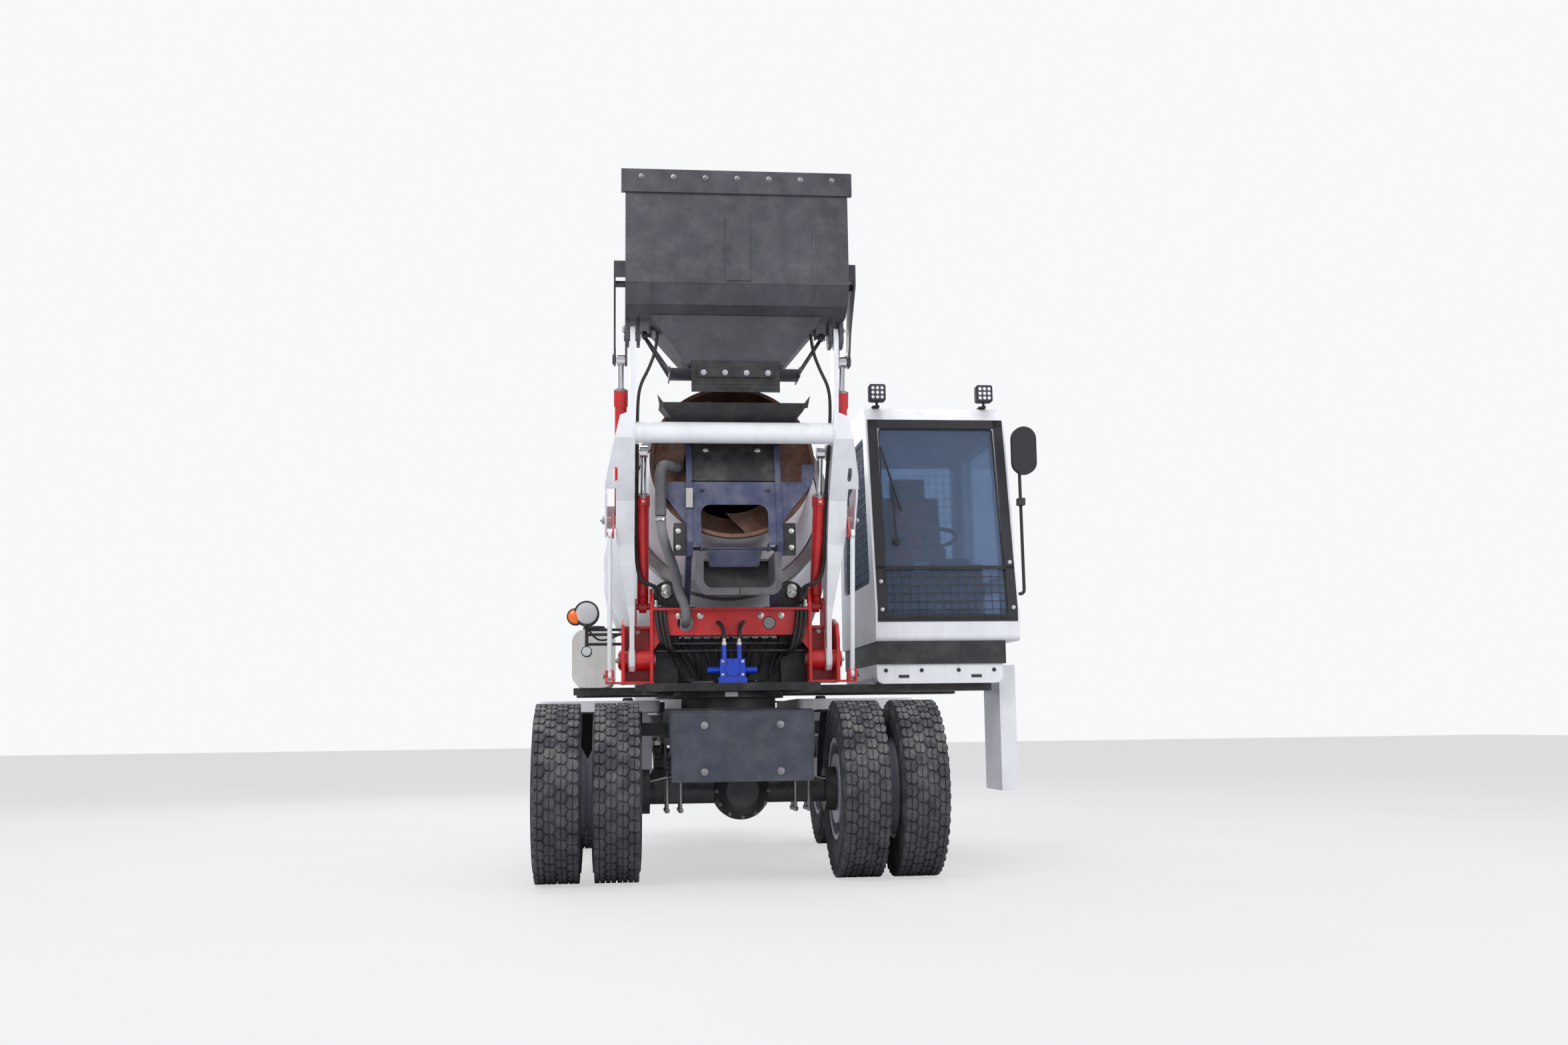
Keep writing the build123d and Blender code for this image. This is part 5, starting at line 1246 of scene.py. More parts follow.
@dataclass
class ArmTrim:
    """Pins, welds, glands, ports and hoses of the loader."""

    shop: Workshop
    hose: float = 0.0115

    def pins(self) -> None:
        """Puts caps and keepers on the pins of the arms, rockers and links."""
        caps = []
        for x, y, z, radius in ((0.797, 0.335, 2.19, 0.027), (0.6355, 0.13, 2.59, 0.034)):
            caps.append(rod((x - 0.004, y, z), (x + 0.006, y, z), radius, 28, 0.002))
        self.shop.fit(both(joined(caps)), "arm_pin_caps", Coat.STEEL, "loader_arms")
        tower = [
            rod((0.696, 0.45, 1.32), (0.706, 0.45, 1.32), 0.05, 32, 0.003),
            rod((0.478, 0.45, 1.32), (0.470, 0.45, 1.32), 0.05, 32, 0.003),
            rod((0.791, 0.33, 1.22), (0.797, 0.33, 1.22), 0.019, 20, 0.002),
            rod((0.486, 0.50, 1.66), (0.478, 0.50, 1.66), 0.034, 24, 0.003),
        ]
        self.shop.fit(both(joined(tower)), "tower_pin_caps", Coat.STEEL, "upper")
        bolts = [(0.706, 0.45, 1.32)]
        self.shop.fit(both(bolt_heads(bolts, (1, 0, 0), 0.016)), "tower_pin_bolts", Coat.ZINC, "upper")
        heads = bolt_heads([(0.803, 0.335, 2.19)], (1, 0, 0), 0.013)
        self.shop.fit(both(heads), "arm_pin_bolts", Coat.ZINC, "loader_arms")

    def welds(self) -> None:
        """Lays beads round the cross tube, the bosses and along the front flange."""
        beads = [
            ring((0.603, -0.045, 2.68), 0.066, 0.005, (1, 0, 0)),
            ring((0.604, 0.13, 2.59), 0.051, 0.004, (1, 0, 0)),
            ring((0.636, 0.335, 2.19), 0.046, 0.004, (1, 0, 0)),
            ring((0.637, 0.45, 1.32), 0.069, 0.004, (1, 0, 0)),
            ring((0.603, 0.45, 1.32), 0.069, 0.004, (1, 0, 0)),
        ]
        flange = [(0.3455, 1.66), (0.281, 1.9), (0.269, 2.03), (0.169, 2.29), (-0.09, 2.638)]
        for start, end in zip(flange, flange[1:]):
            beads.append(
                rod((0.6365, start[0] + 0.014, start[1]), (0.6365, end[0] + 0.014, end[1]), 0.004, 8, 0.0)
            )
        self.shop.fit(both(joined(beads)), "arm_welds", Coat.WHITE, "loader_arms")

    def glands(self) -> None:
        """Puts the gland rings, wipers and ports on the rams."""
        foot, head = Vector((0.55, 0.5, 1.66)), Vector((0.55, 0.13, 2.59))
        way = (head - foot).normalized()
        gland = head - way * (0.235 + 0.0414)
        lift = [
            rod(gland - way * 0.006, gland + way * 0.007, 0.040, 32, 0.003),
            rod(gland, gland + way * 0.014, 0.026, 24),
        ]
        self.shop.fit(both(joined(lift)), "lift_glands", Coat.STEEL, "lift_barrel_pair")
        port = gland - way * 0.05
        ports = [
            block(port + Vector((-0.018, -0.066, -0.02)), port + Vector((0.018, -0.036, 0.022)), 0.003),
            rod(
                foot + way * 0.07 + Vector((0, -0.03, -0.01)),
                foot + way * 0.07 + Vector((0, -0.062, -0.035)),
                0.017,
                16,
            ),
        ]
        self.shop.fit(both(joined(ports)), "lift_ports", Coat.RED, "lift_barrel_pair")
        nuts = [
            fitting(port + Vector((0, -0.05, 0.02)), (0, 0.05, 1), 0.013),
            fitting(port + Vector((0, -0.062, 0)), (0, -1, 0), 0.010),
        ]
        self.shop.fit(both(joined(nuts)), "lift_fittings", Coat.ZINC, "lift_barrel_pair")
        base, tip = Vector((0.69, 0.335, 2.19)), Vector((0.69, 0.08, 3.16))
        run = (tip - base).normalized()
        end = tip - run * (0.150 + 0.0437)
        tilt = [
            rod(end - run * 0.006, end + run * 0.008, 0.043, 32, 0.003),
            rod(end, end + run * 0.015, 0.028, 24),
        ]
        self.shop.fit(both(joined(tilt)), "tilt_glands", Coat.STEEL, "tilt_barrel_pair")
        spots = [end - run * 0.06, base + run * 0.11]
        blocks = [
            block(s + Vector((-0.016, 0.034, -0.02)), s + Vector((0.016, 0.062, 0.02)), 0.003) for s in spots
        ]
        self.shop.fit(both(joined(blocks)), "tilt_ports", Coat.RED, "tilt_barrel_pair")
        steel = tube(
            [
                spots[0] + Vector((0, 0.056, 0)),
                spots[0] + Vector((0, 0.075, -0.04)),
                spots[1] + Vector((0, 0.085, 0.12)),
                spots[1] + Vector((0, 0.078, 0.03)),
            ],
            0.007,
        )
        self.shop.fit(both(steel), "tilt_pipes", Coat.ZINC, "tilt_barrel_pair")

    def arm_hoses(self) -> None:
        """Runs the hoses down the arms' inner faces, with their clips."""
        runs = []
        for offset, top in ((0.0, 2.62), (0.026, 2.30)):
            y = -0.01 + offset * 1.5
            route = [
                (0.591, y + 0.04, top),
                (0.591, 0.20 + offset, 2.36),
                (0.591, 0.315 + offset, 2.12),
                (0.591, 0.335 + offset, 1.98),
            ]
            runs.append(tube(route if top > 2.5 else route[1:], self.hose))
        self.shop.fit(both(joined(runs)), "arm_hoses", Coat.RUBBER, "loader_arms")
        clips = []
        for y, z in ((0.215, 2.33), (0.335, 2.08)):
            clips.append(block((0.578, y - 0.02, z - 0.012), (0.606, y + 0.052, z + 0.012), 0.003))
        self.shop.fit(both(joined(clips)), "hose_clips", Coat.PLASTIC, "loader_arms")

    def tower_hoses(self) -> None:
        """Carries the hoses over from the arms to the fittings on the towers."""
        for number, (offset, z) in enumerate(((0.0, 1.71), (0.026, 1.68))):
            route = [
                (0.591, 0.335 + offset, 1.985),
                (0.589, 0.345 + offset, 1.90),
                (0.560, 0.34 + offset, 1.80),
                (0.505, 0.335 + offset, 1.79),
                (0.470 - offset, 0.345 + offset, 1.76),
                (0.470 - offset, 0.36 + offset, z),
            ]
            for side, word in ((1, "right"), (-1, "left")):
                points = [(side * x, y, height) for x, y, height in route]
                ends = (("upper", points[-1]), ("loader_arms", points[0]))
                self.shop.bend(tube(points, self.hose), f"tower_hose_{number}_{word}", Coat.RUBBER, ends)
        nuts = []
        for offset, z in ((0.0, 1.645), (0.026, 1.615)):
            nuts.append(fitting((0.470 - offset, 0.36 + offset, z), (0, 0, 1), 0.016))
        self.shop.fit(both(joined(nuts)), "tower_fittings", Coat.ZINC, "upper")
        loops = []
        for x, drop in ((0.470, 1.40), (0.444, 1.37), (0.418, 1.35)):
            loops.append(
                tube(
                    [
                        (x, 0.36, 1.65),
                        (x, 0.345, 1.60),
                        (x - 0.02, 0.335, 1.46),
                        (x - 0.05, 0.36, drop),
                        (x - 0.08, 0.46, drop),
                    ],
                    self.hose,
                )
            )
        self.shop.fit(both(joined(loops)), "tower_loops", Coat.RUBBER, "upper")

    def gate_hoses(self) -> None:
        """Runs the gate's hoses from the bucket down to the arms."""
        for side, word in ((1, "right"), (-1, "left")):
            route = [
                (side * 0.470, -0.105, 3.30),
                (side * 0.474, -0.125, 3.19),
                (side * 0.520, -0.13, 3.06),
                (side * 0.575, -0.11, 2.96),
                (side * 0.590, -0.08, 2.85),
                (side * 0.590, -0.03, 2.74),
            ]
            ends = (("loader_arms", route[-1]), ("loading_bucket", route[0]))
            self.shop.bend(tube(route, 0.010), f"gate_hose_{word}", Coat.RUBBER, ends)

    def build(self) -> None:
        """Builds the loader's trim."""
        self.pins()
        self.welds()
        self.glands()
        self.arm_hoses()
        self.tower_hoses()
        self.gate_hoses()


@dataclass
class MouthTrim:
    """The hopper, chute, rollers and water hose at the drum's mouth."""

    shop: Workshop
    floor_top: float = 1.7085

    def hopper(self) -> None:
        """Bolts the plates between the discharge hopper's uprights and stiffens its wings."""
        bolts = [(x, 0.122, 2.600) for x in (-0.169, 0.154)]
        self.shop.fit(bolt_heads(bolts, (0, -1, 0), 0.014), "tray_bolts", Coat.ZINC, "upper")
        holes = [rod((x, 0.048, 2.330), (x, 0.0425, 2.3285), 0.016, 20, 0.0005) for x in (-0.196, 0.210)]
        self.shop.fit(joined(holes), "sheet_holes", Coat.RUBBER, "upper")
        brackets = []
        heads = []
        for side, low in ((-1, 1.930), (1, 1.930)):
            outer, inner = side * 0.372, side * 0.286
            brackets.append(block((inner, -0.010, low), (outer, -0.002, low + 0.20), 0.004))
            brackets.append(
                block((outer, -0.010, low + 0.02), (outer - side * 0.008, 0.060, low + 0.18), 0.004)
            )
            for z in (low + 0.05, low + 0.15):
                heads.append((side * 0.345, -0.011, z))
        self.shop.fit(joined(brackets), "wing_brackets", Coat.BLACK, "upper")
        self.shop.fit(bolt_heads(heads, (0, -1, 0), 0.012), "wing_bolts", Coat.ZINC, "upper")
        keeper = block((-0.296, -0.005, 2.225), (-0.256, 0.004, 2.345), 0.002)
        self.shop.fit(keeper, "hopper_keeper", Coat.ZINC, "upper")

    def rollers(self) -> None:
        """Puts zinc eccentrics and bolts on the brackets that carry the rollers."""
        ovals = []
        for x in (-0.402, 0.402):
            ovals.append(rod((x, 0.516, 1.772), (x, 0.503, 1.772), 0.032, 24, 0.003))
            ovals.append(rod((x, 0.516, 1.744), (x, 0.504, 1.744), 0.032, 24, 0.003))
            ovals.append(rod((x, 0.505, 1.742), (x, 0.488, 1.742), 0.019, 6, 0.002))
            ovals.append(rod((x, 0.505, 1.785), (x, 0.496, 1.785), 0.010, 12, 0.002))
        self.shop.fit(joined(ovals), "roller_bolts", Coat.ZINC, "upper")

    def chute(self) -> None:
        """Splashes the chute's floor and seams its frame."""
        splashes = []
        for _ in range(16):
            x = random.uniform(-0.16, 0.16)
            y = random.uniform(-0.22, 0.0)
            size = random.uniform(0.008, 0.03)
            spot = (x, y, self.floor_top + 0.001)
            drop = rod(spot, (x, y, spot[2] + random.uniform(0.002, 0.006)), size, 9, 0.001)
            splashes.append(drop)
        self.shop.fit(joined(splashes), "chute_splashes", Coat.CONCRETE, "chute")
        panel = block((-0.148, 0.0615, 1.872), (0.148, 0.0638, 1.966), 0.0008)
        self.shop.fit(panel, "chute_panel", Coat.HOPPER, "chute")
        floor = block((-0.150, -0.325, 1.7072), (0.150, 0.160, 1.7084), 0.0004)
        self.shop.fit(floor, "chute_floor_wear", Coat.SLATE, "chute")
        seam = rod((0.002, -0.3325, 1.666), (0.002, -0.3325, 1.706), 0.002, 8, 0.0)
        self.shop.fit(seam, "chute_seam", Coat.BLACK, "chute")

    def water_hose(self) -> None:
        """Replaces the water hose by a braided one with a clamp."""
        route = [
            (-0.450, -0.005, 2.170),
            (-0.448, -0.002, 2.060),
            (-0.352, 0.200, 1.850),
            (-0.335, 0.290, 1.740),
            (-0.285, 0.297, 1.640),
            (-0.285, 0.297, 1.545),
            (-0.285, 0.410, 1.545),
        ]
        hose = self.shop.fit(tube(route, 0.030), "water_hose_braided", Coat.HOSE, "upper", "hose_rubber")
        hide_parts("water_hose")
        clamps = [
            turned(
                [(-0.008, 0.0285), (0.008, 0.0285), (0.008, 0.0345), (-0.008, 0.0345)],
                (-0.450, -0.005, 2.150),
                (0, 0, 1),
                32,
            ),
            block((-0.460, -0.052, 2.142), (-0.440, -0.034, 2.158), 0.002),
        ]
        self.shop.fit(joined(clamps), "water_clamps", Coat.ZINC, "upper")

    def build(self) -> None:
        """Builds the trim at the mouth."""
        self.hopper()
        self.rollers()
        self.chute()
        self.water_hose()


@dataclass
class FrontTrim:
    """Valve, beam, box, axle and tower fittings seen from the front."""

    shop: Workshop

    def valve(self) -> None:
        """Puts the valve's fittings, hoses, sections and screws."""
        lines = [
            block((x - 0.0015, 0.259, 1.202), (x + 0.0015, 0.263, 1.316), 0.0) for x in (-0.036, 0.002, 0.04)
        ]
        self.shop.fit(joined(lines), "valve_sections", Coat.BLACK, "upper")
        screws = [(x, 0.262, z) for x in (-0.062, 0.062) for z in (1.218, 1.300)]
        self.shop.fit(bolt_heads(screws, (0, -1, 0), 0.007), "valve_screws", Coat.ZINC, "upper")
        nuts = []
        hoses = []
        for x, turn in ((-0.050, -1), (0.044, 1)):
            nuts.append(fitting((x, 0.300, 1.400), (0, 0, 1), 0.017))
            hoses.append(
                tube(
                    [
                        (x, 0.300, 1.44),
                        (x, 0.300, 1.50),
                        (x + turn * 0.03, 0.36, 1.555),
                        (x + turn * 0.06, 0.47, 1.56),
                        (x + turn * 0.08, 0.56, 1.54),
                    ],
                    0.0125,
                )
            )
        for x in (-0.036, 0.0, 0.036):
            nuts.append(fitting((x, 0.352, 1.24), (0, 1, 0), 0.014))
            hoses.append(
                tube(
                    [
                        (x, 0.385, 1.24),
                        (x, 0.44, 1.24),
                        (x * 2, 0.50, 1.20),
                        (x * 3, 0.60, 1.16),
                        (x * 3, 0.62, 1.10),
                    ],
                    0.0115,
                )
            )
        self.shop.fit(joined(nuts), "valve_fittings", Coat.ZINC, "upper")
        self.shop.fit(joined(hoses), "valve_hoses", Coat.RUBBER, "upper")

    def beam(self) -> None:
        """Bolts the red beam, lines its holes and lays its welds."""
        bolts = [(x, 0.3705, 1.592) for x in (-0.327, -0.193, 0.187, 0.316)]
        self.shop.fit(bolt_heads(bolts, (0, -1, 0), 0.015), "beam_bolts", Coat.ZINC, "upper")
        beads = []
        for x in (-0.488, 0.488):
            beads.append(rod((x, 0.3695, 1.475), (x, 0.3695, 1.635), 0.005, 8, 0.0))
        self.shop.fit(joined(beads), "beam_welds", Coat.RED, "upper")
        rails = [rod((-0.486, 0.40, z), (0.486, 0.40, z), 0.009, 12, 0.001) for z in (1.372, 1.418)]
        rails += [block((-0.47, 0.588, 1.19), (0.47, 0.596, 1.46), 0.002)]
        self.shop.fit(joined(rails), "hose_rails", Coat.BLACK, "upper")
        bundle = []
        for index in range(14):
            x = -0.42 + 0.062 * index
            sway = 0.03 * math.sin(index * 1.7)
            low = 1.20 + 0.02 * (index % 3)
            bundle.append(
                tube(
                    [
                        (x, 0.57, 1.46),
                        (x + sway, 0.50, 1.41),
                        (x * 0.8, 0.47 + sway, 1.33),
                        (x * 0.7 + sway, 0.53, low),
                    ],
                    0.012,
                )
            )
        self.shop.fit(joined(bundle), "hose_bundle", Coat.RUBBER, "upper")
        grommets = [ring((0.240, 0.3705, 1.545), 0.039, 0.003, (0, 1, 0), 32)]
        self.shop.fit(joined(grommets), "beam_grommets", Coat.BLACK, "upper")

    def towers(self) -> None:
        """Bolts the towers' back plates and lays their welds."""
        bolts = [(x, 0.5645, 1.510) for x in (-0.583, 0.583)]
        beads = []
        for x in (0.485, 0.688):
            beads.append(rod((x, 0.352, 1.176), (x, 0.578, 1.176), 0.005, 8, 0.0))
        self.shop.fit(both(joined(beads)), "tower_welds", Coat.RED, "upper")
        self.shop.fit(bolt_heads(bolts, (0, -1, 0), 0.015), "tower_bolts", Coat.ZINC, "upper")

    def box(self) -> None:
        """Bolts the front box and beads the edges of its front plate."""
        bolts = [(x, -0.4515, z) for x in (-0.218, 0.218) for z in (0.646, 0.910)]
        self.shop.fit(bolt_heads(bolts, (0, -1, 0), 0.016), "box_bolts", Coat.STEEL, "chassis")
        edge = [(-0.404, 0.592), (0.404, 0.592), (0.404, 0.988), (-0.404, 0.988)]
        beads = []
        for (x, z), (far_x, far_z) in zip(edge, [*edge[1:], edge[0]]):
            beads.append(rod((x, -0.4505, z), (far_x, -0.4505, far_z), 0.003, 8, 0.0))
        self.shop.fit(joined(beads), "box_edges", Coat.SLATE, "chassis")

    def slew(self) -> None:
        """Bolts the slewing ring and puts its bare plate."""
        spots = ring_places((0.0, 0.670, 1.1), 0.320, 30, Ax.Z)
        heads = [(p.x, p.y, 1.1195) for p in spots]
        self.shop.fit(bolt_heads(heads, (0, 0, 1), 0.010), "slew_bolts", Coat.STEEL, "chassis")
        label = block((-0.045, 0.312, 1.085), (0.035, 0.318, 1.115), 0.001)
        self.shop.fit(label, "slew_plate", Coat.WHITE, "chassis")

    def axle(self) -> None:
        """Puts U-bolts, nuts, brake pipes and the pot's bolts on the front axle."""
        bolts = []
        nuts = []
        for x in (-0.420, -0.340, 0.340, 0.420):
            for y in (-0.085, 0.085):
                bolts.append(rod((x, y, 0.400), (x, y, 0.715), 0.010, 14, 0.001))
                nuts.append(rod((x, y, 0.405), (x, y, 0.425), 0.018, 6, 0.002))
        self.shop.fit(joined(bolts + nuts), "axle_bolts", Coat.STEEL, "chassis")
        pot = [(p.x, p.y, p.z) for p in ring_places((0.02, -0.158, 0.525), 0.152, 12, Ax.Y)]
        self.shop.fit(bolt_heads(pot, (0, -1, 0), 0.008), "pot_bolts", Coat.CAST, "chassis")
        pipes = [
            tube(
                [(-0.17, -0.10, 0.63), (-0.30, -0.10, 0.64), (-0.45, -0.10, 0.60), (-0.56, -0.10, 0.58)],
                0.005,
            ),
            tube([(0.19, -0.10, 0.63), (0.30, -0.10, 0.64), (0.45, -0.10, 0.60), (0.56, -0.10, 0.58)], 0.005),
        ]
        self.shop.fit(joined(pipes), "brake_pipes", Coat.STEEL, "chassis")

    def build(self) -> None:
        """Builds the front's trim."""
        self.valve()
        self.beam()
        self.towers()
        self.box()
        self.slew()
        self.axle()


@dataclass
class CabTrim:
    """Frame, seals, wiper, grilles, lamps and mirror of the cab."""

    shop: Workshop
    left: float = 1.065
    right: float = 1.890
    screen_low: float = 1.610
    screen_high: float = 2.930

    def face_y(self, z: float) -> float:
        """The front face of the cab at a height.

        Args:
            z: The height.

        Returns:
            The face's y.
        """
        if z < 1.66:
            return 0.800 - (z - 1.446) * 0.012 / 0.214
        return 0.788 + (z - 1.660) * 0.282 / 1.310

    def leaning_bar(self, a: float, b: float, low: float, high: float) -> bpy.types.Object:
        """A flat bar on the leaning front face.

        Args:
            a: Its left side.
            b: Its right side.
            low: Its lower edge.
            high: Its upper edge.

        Returns:
            The bar.
        """
        outline = [
            (self.face_y(low) - 0.007, low),
            (self.face_y(high) - 0.007, high),
            (self.face_y(high) + 0.004, high),
            (self.face_y(low) + 0.004, low),
        ]
        return plate(outline, Ax.X, a, b, 0.002)

    def frame(self) -> None:
        """Frames the windscreen in black, with its seal and bolts."""
        wide = 0.060
        bars = [
            self.leaning_bar(self.left - wide, self.left + 0.006, 1.66, self.screen_high + wide),
            self.leaning_bar(self.right - 0.006, self.right + wide, 1.66, self.screen_high + wide),
            self.leaning_bar(
                self.left - wide, self.right + wide, self.screen_high - 0.004, self.screen_high + wide
            ),
            self.leaning_bar(self.left - wide, self.right + wide, 1.575, self.screen_low + 0.012),
            self.leaning_bar(self.left - wide, self.left + 0.006, 1.575, 1.662),
            self.leaning_bar(self.right - 0.006, self.right + wide, 1.575, 1.662),
            self.leaning_bar(self.left - wide, self.right + wide, 1.930, 1.952),
        ]
        self.shop.fit(joined(bars), "screen_frame", Coat.PLASTIC, "upper")
        corners = []
        spots = (
            (self.left + 0.004, self.screen_low),
            (self.right - 0.004, self.screen_low),
            (self.right - 0.012, self.screen_high - 0.004),
            (self.left + 0.012, self.screen_high - 0.004),
        )
        for x, z in spots:
            corners.append((x, self.face_y(z) + 0.012, z))
        self.shop.fit(edging(corners, 0.009), "screen_seal", Coat.RUBBER, "upper")
        heads = []
        for x, z in ((1.034, 1.845), (1.034, 1.655), (1.920, 1.975), (1.920, 1.665)):
            heads.append((x, self.face_y(z) - 0.008, z))
        self.shop.fit(bolt_heads(heads, (0, -1, 0), 0.010), "screen_bolts", Coat.ZINC, "upper")

    def wiper(self) -> None:
        """Hangs the wiper in front of the windscreen."""
        pivot = (1.157, self.face_y(2.12) - 0.020, 2.12)
        middle = (1.140, self.face_y(2.55) - 0.024, 2.55)
        low = (1.200, self.face_y(2.33) - 0.018, 2.33)
        high = (1.080, self.face_y(2.79) - 0.018, 2.79)
        blade = [rod(low, high, 0.008, 8), rod(pivot, middle, 0.006, 8), rod(middle, low, 0.004, 8)]
        blade.append(
            rod((pivot[0], pivot[1] + 0.03, pivot[2]), (pivot[0], pivot[1] - 0.01, pivot[2]), 0.022, 20)
        )
        self.shop.fit(joined(blade), "wiper", Coat.PLASTIC, "upper")

    def grilles(self) -> None:
        """Puts the wire guards at the foot of the screen, the rear and the left window."""
        low = (self.left, self.face_y(1.60) - 0.012, 1.60)
        guard = grid(low, (self.right, 0.0, 1.93), 0.055, 0.0028, 0.165)
        self.shop.fit(guard, "screen_guard", Coat.BLACK, "upper")
        rear = grid((1.10, 2.333, 1.955), (1.855, 0.0, 2.855), 0.060, 0.0028)
        self.shop.fit(rear, "rear_guard", Coat.BLACK, "upper")
        wires = []
        for index in range(17):
            y = 1.06 + index * 0.066
            top = min(2.875, 1.86 + (y - 1.00) * 5.4)
            wires.append(rod((1.006, y, 1.855), (1.006, y, top), 0.0028, 6, 0.0))
        for index in range(15):
            z = 1.90 + index * 0.066
            wires.append(rod((1.003, 1.03 + (z - 1.85) * 0.17, z), (1.003, 2.185, z), 0.0028, 6, 0.0))
        self.shop.fit(joined(wires), "side_guard", Coat.BLACK, "upper")

    def lamps(self) -> None:
        """Faces the roof lamps and puts their LED cells."""
        faces = []
        rims = []
        for x in (1.080, 1.835):
            faces.append(block((x - 0.050, 1.0655, 3.128), (x + 0.050, 1.072, 3.232), 0.003))
            for row in range(3):
                for column in range(3):
                    spot = (x - 0.032 + 0.032 * column, 1.066, 3.148 + 0.032 * row)
                    rims.append(rod(spot, (spot[0], 1.0625, spot[2]), 0.011, 14, 0.001))
        self.shop.fit(joined(faces), "roof_lamp_faces", Coat.SLATE, "upper")
        self.shop.fit(joined(rims), "roof_lamp_cells", Coat.LIGHT, "upper")

    def mirror(self) -> None:
        """Puts the mirror's glass and clamp."""
        glass = block((1.975, 0.8815, 2.62), (2.115, 0.8845, 2.86), 0.001)
        self.shop.fit(glass, "mirror_glass", Coat.MIRROR, "upper")
        clamp = block((1.985, 0.812, 2.36), (2.035, 0.875, 2.41), 0.004)
        self.shop.fit(clamp, "mirror_clamp", Coat.BLACK, "upper")

    def inside(self) -> None:
        """Gives the seat its red panels and the dash its panel."""
        panels = [
            plate([(1.955, 1.97), (2.100, 2.56), (2.106, 2.56), (1.962, 1.97)], Ax.X, 1.33, 1.62, 0.002),
            block((1.30, 1.60, 1.954), (1.66, 1.96, 1.959), 0.002),
        ]
        self.shop.fit(joined(panels), "seat_panels", Coat.ACCENT, "upper")
        dash = [
            block((1.26, 1.02, 1.72), (1.69, 1.16, 2.02), 0.02),
            block((1.40, 1.14, 2.00), (1.55, 1.24, 2.10), 0.01),
            rod((1.60, 1.60, 2.03), (1.62, 1.60, 2.16), 0.010, 12),
        ]
        self.shop.fit(joined(dash), "dash", Coat.PLASTIC, "upper")
        vents = []
        for index in range(5):
            vents.append(
                block((1.30, 1.016, 1.93 + index * 0.014), (1.40, 1.021, 1.937 + index * 0.014), 0.001)
            )
        self.shop.fit(joined(vents), "dash_vent", Coat.RIM, "upper")

    def door(self) -> None:
        """Puts the seal, lock and pull on the door."""
        seal = edging(
            [(1.9655, 1.12, 1.90), (1.9655, 2.13, 1.90), (1.9655, 2.13, 2.88), (1.9655, 1.30, 2.88)], 0.006
        )
        self.shop.fit(seal, "door_seal", Coat.RUBBER, "door")
        pull = [
            rod((1.985, 1.070, 1.735), (1.985, 1.070, 1.865), 0.008, 12),
            block((1.964, 1.052, 1.790), (1.972, 1.088, 1.812), 0.002),
        ]
        self.shop.fit(joined(pull), "door_pull", Coat.PLASTIC, "door")

    def belly(self) -> None:
        """Bolts the white locker and puts its two black slots."""
        bolts = [(x, 0.838, 1.255) for x in (1.06, 1.30, 1.55, 1.79)]
        self.shop.fit(bolt_heads(bolts, (0, -1, 0), 0.010), "locker_bolts", Coat.BLACK, "upper")
        ovals = [block((x - 0.035, 0.8365, 1.205), (x + 0.035, 0.8405, 1.225), 0.0015) for x in (1.18, 1.67)]
        self.shop.fit(joined(ovals), "locker_slots", Coat.BLACK, "upper")

    def build(self) -> None:
        """Builds the cab's trim."""
        self.frame()
        self.wiper()
        self.grilles()
        self.lamps()
        self.mirror()
        self.inside()
        self.door()
        self.belly()


@dataclass
class HeadLamp:
    """The lamps beside the left tower."""

    shop: Workshop

    def build(self) -> None:
        """Builds the lenses and their rims."""
        big = turned(
            [(0.0, 0.0), (0.0, 0.068), (0.006, 0.064), (0.014, 0.045), (0.018, 0.0)],
            (-0.900, 0.350, 1.61),
            (0, -1, 0),
            40
        )
        self.shop.fit(big, "driving_lens", Coat.CLEAR, "upper")
        small = turned(
            [(0.0, 0.0), (0.0, 0.046), (0.008, 0.042), (0.016, 0.026), (0.019, 0.0)],
            (-0.970, 0.360, 1.59),
            (0, -1, 0),
            36
        )
        self.shop.fit(small, "indicator_lens", Coat.AMBER, "upper")
        work = turned(
            [(0.0, 0.0), (0.0, 0.030), (0.006, 0.026), (0.009, 0.0)], (-0.900, 0.375, 1.374), (0, -1, 0), 28
        )
        self.shop.fit(work, "work_lens", Coat.CLEAR, "upper")
        rims = [
            ring((-0.900, 0.350, 1.61), 0.072, 0.005, (0, 1, 0), 48),
            ring((-0.970, 0.360, 1.59), 0.049, 0.004, (0, 1, 0), 40),
            ring((-0.900, 0.375, 1.374), 0.031, 0.003, (0, 1, 0), 32),
        ]
        self.shop.fit(joined(rims), "lamp_rims", Coat.PLASTIC, "upper")
        cable = tube(
            [(-0.900, 0.43, 1.53), (-0.86, 0.47, 1.46), (-0.78, 0.46, 1.44), (-0.70, 0.44, 1.48)], 0.006
        )
        self.shop.fit(cable, "lamp_cable", Coat.RUBBER, "upper")


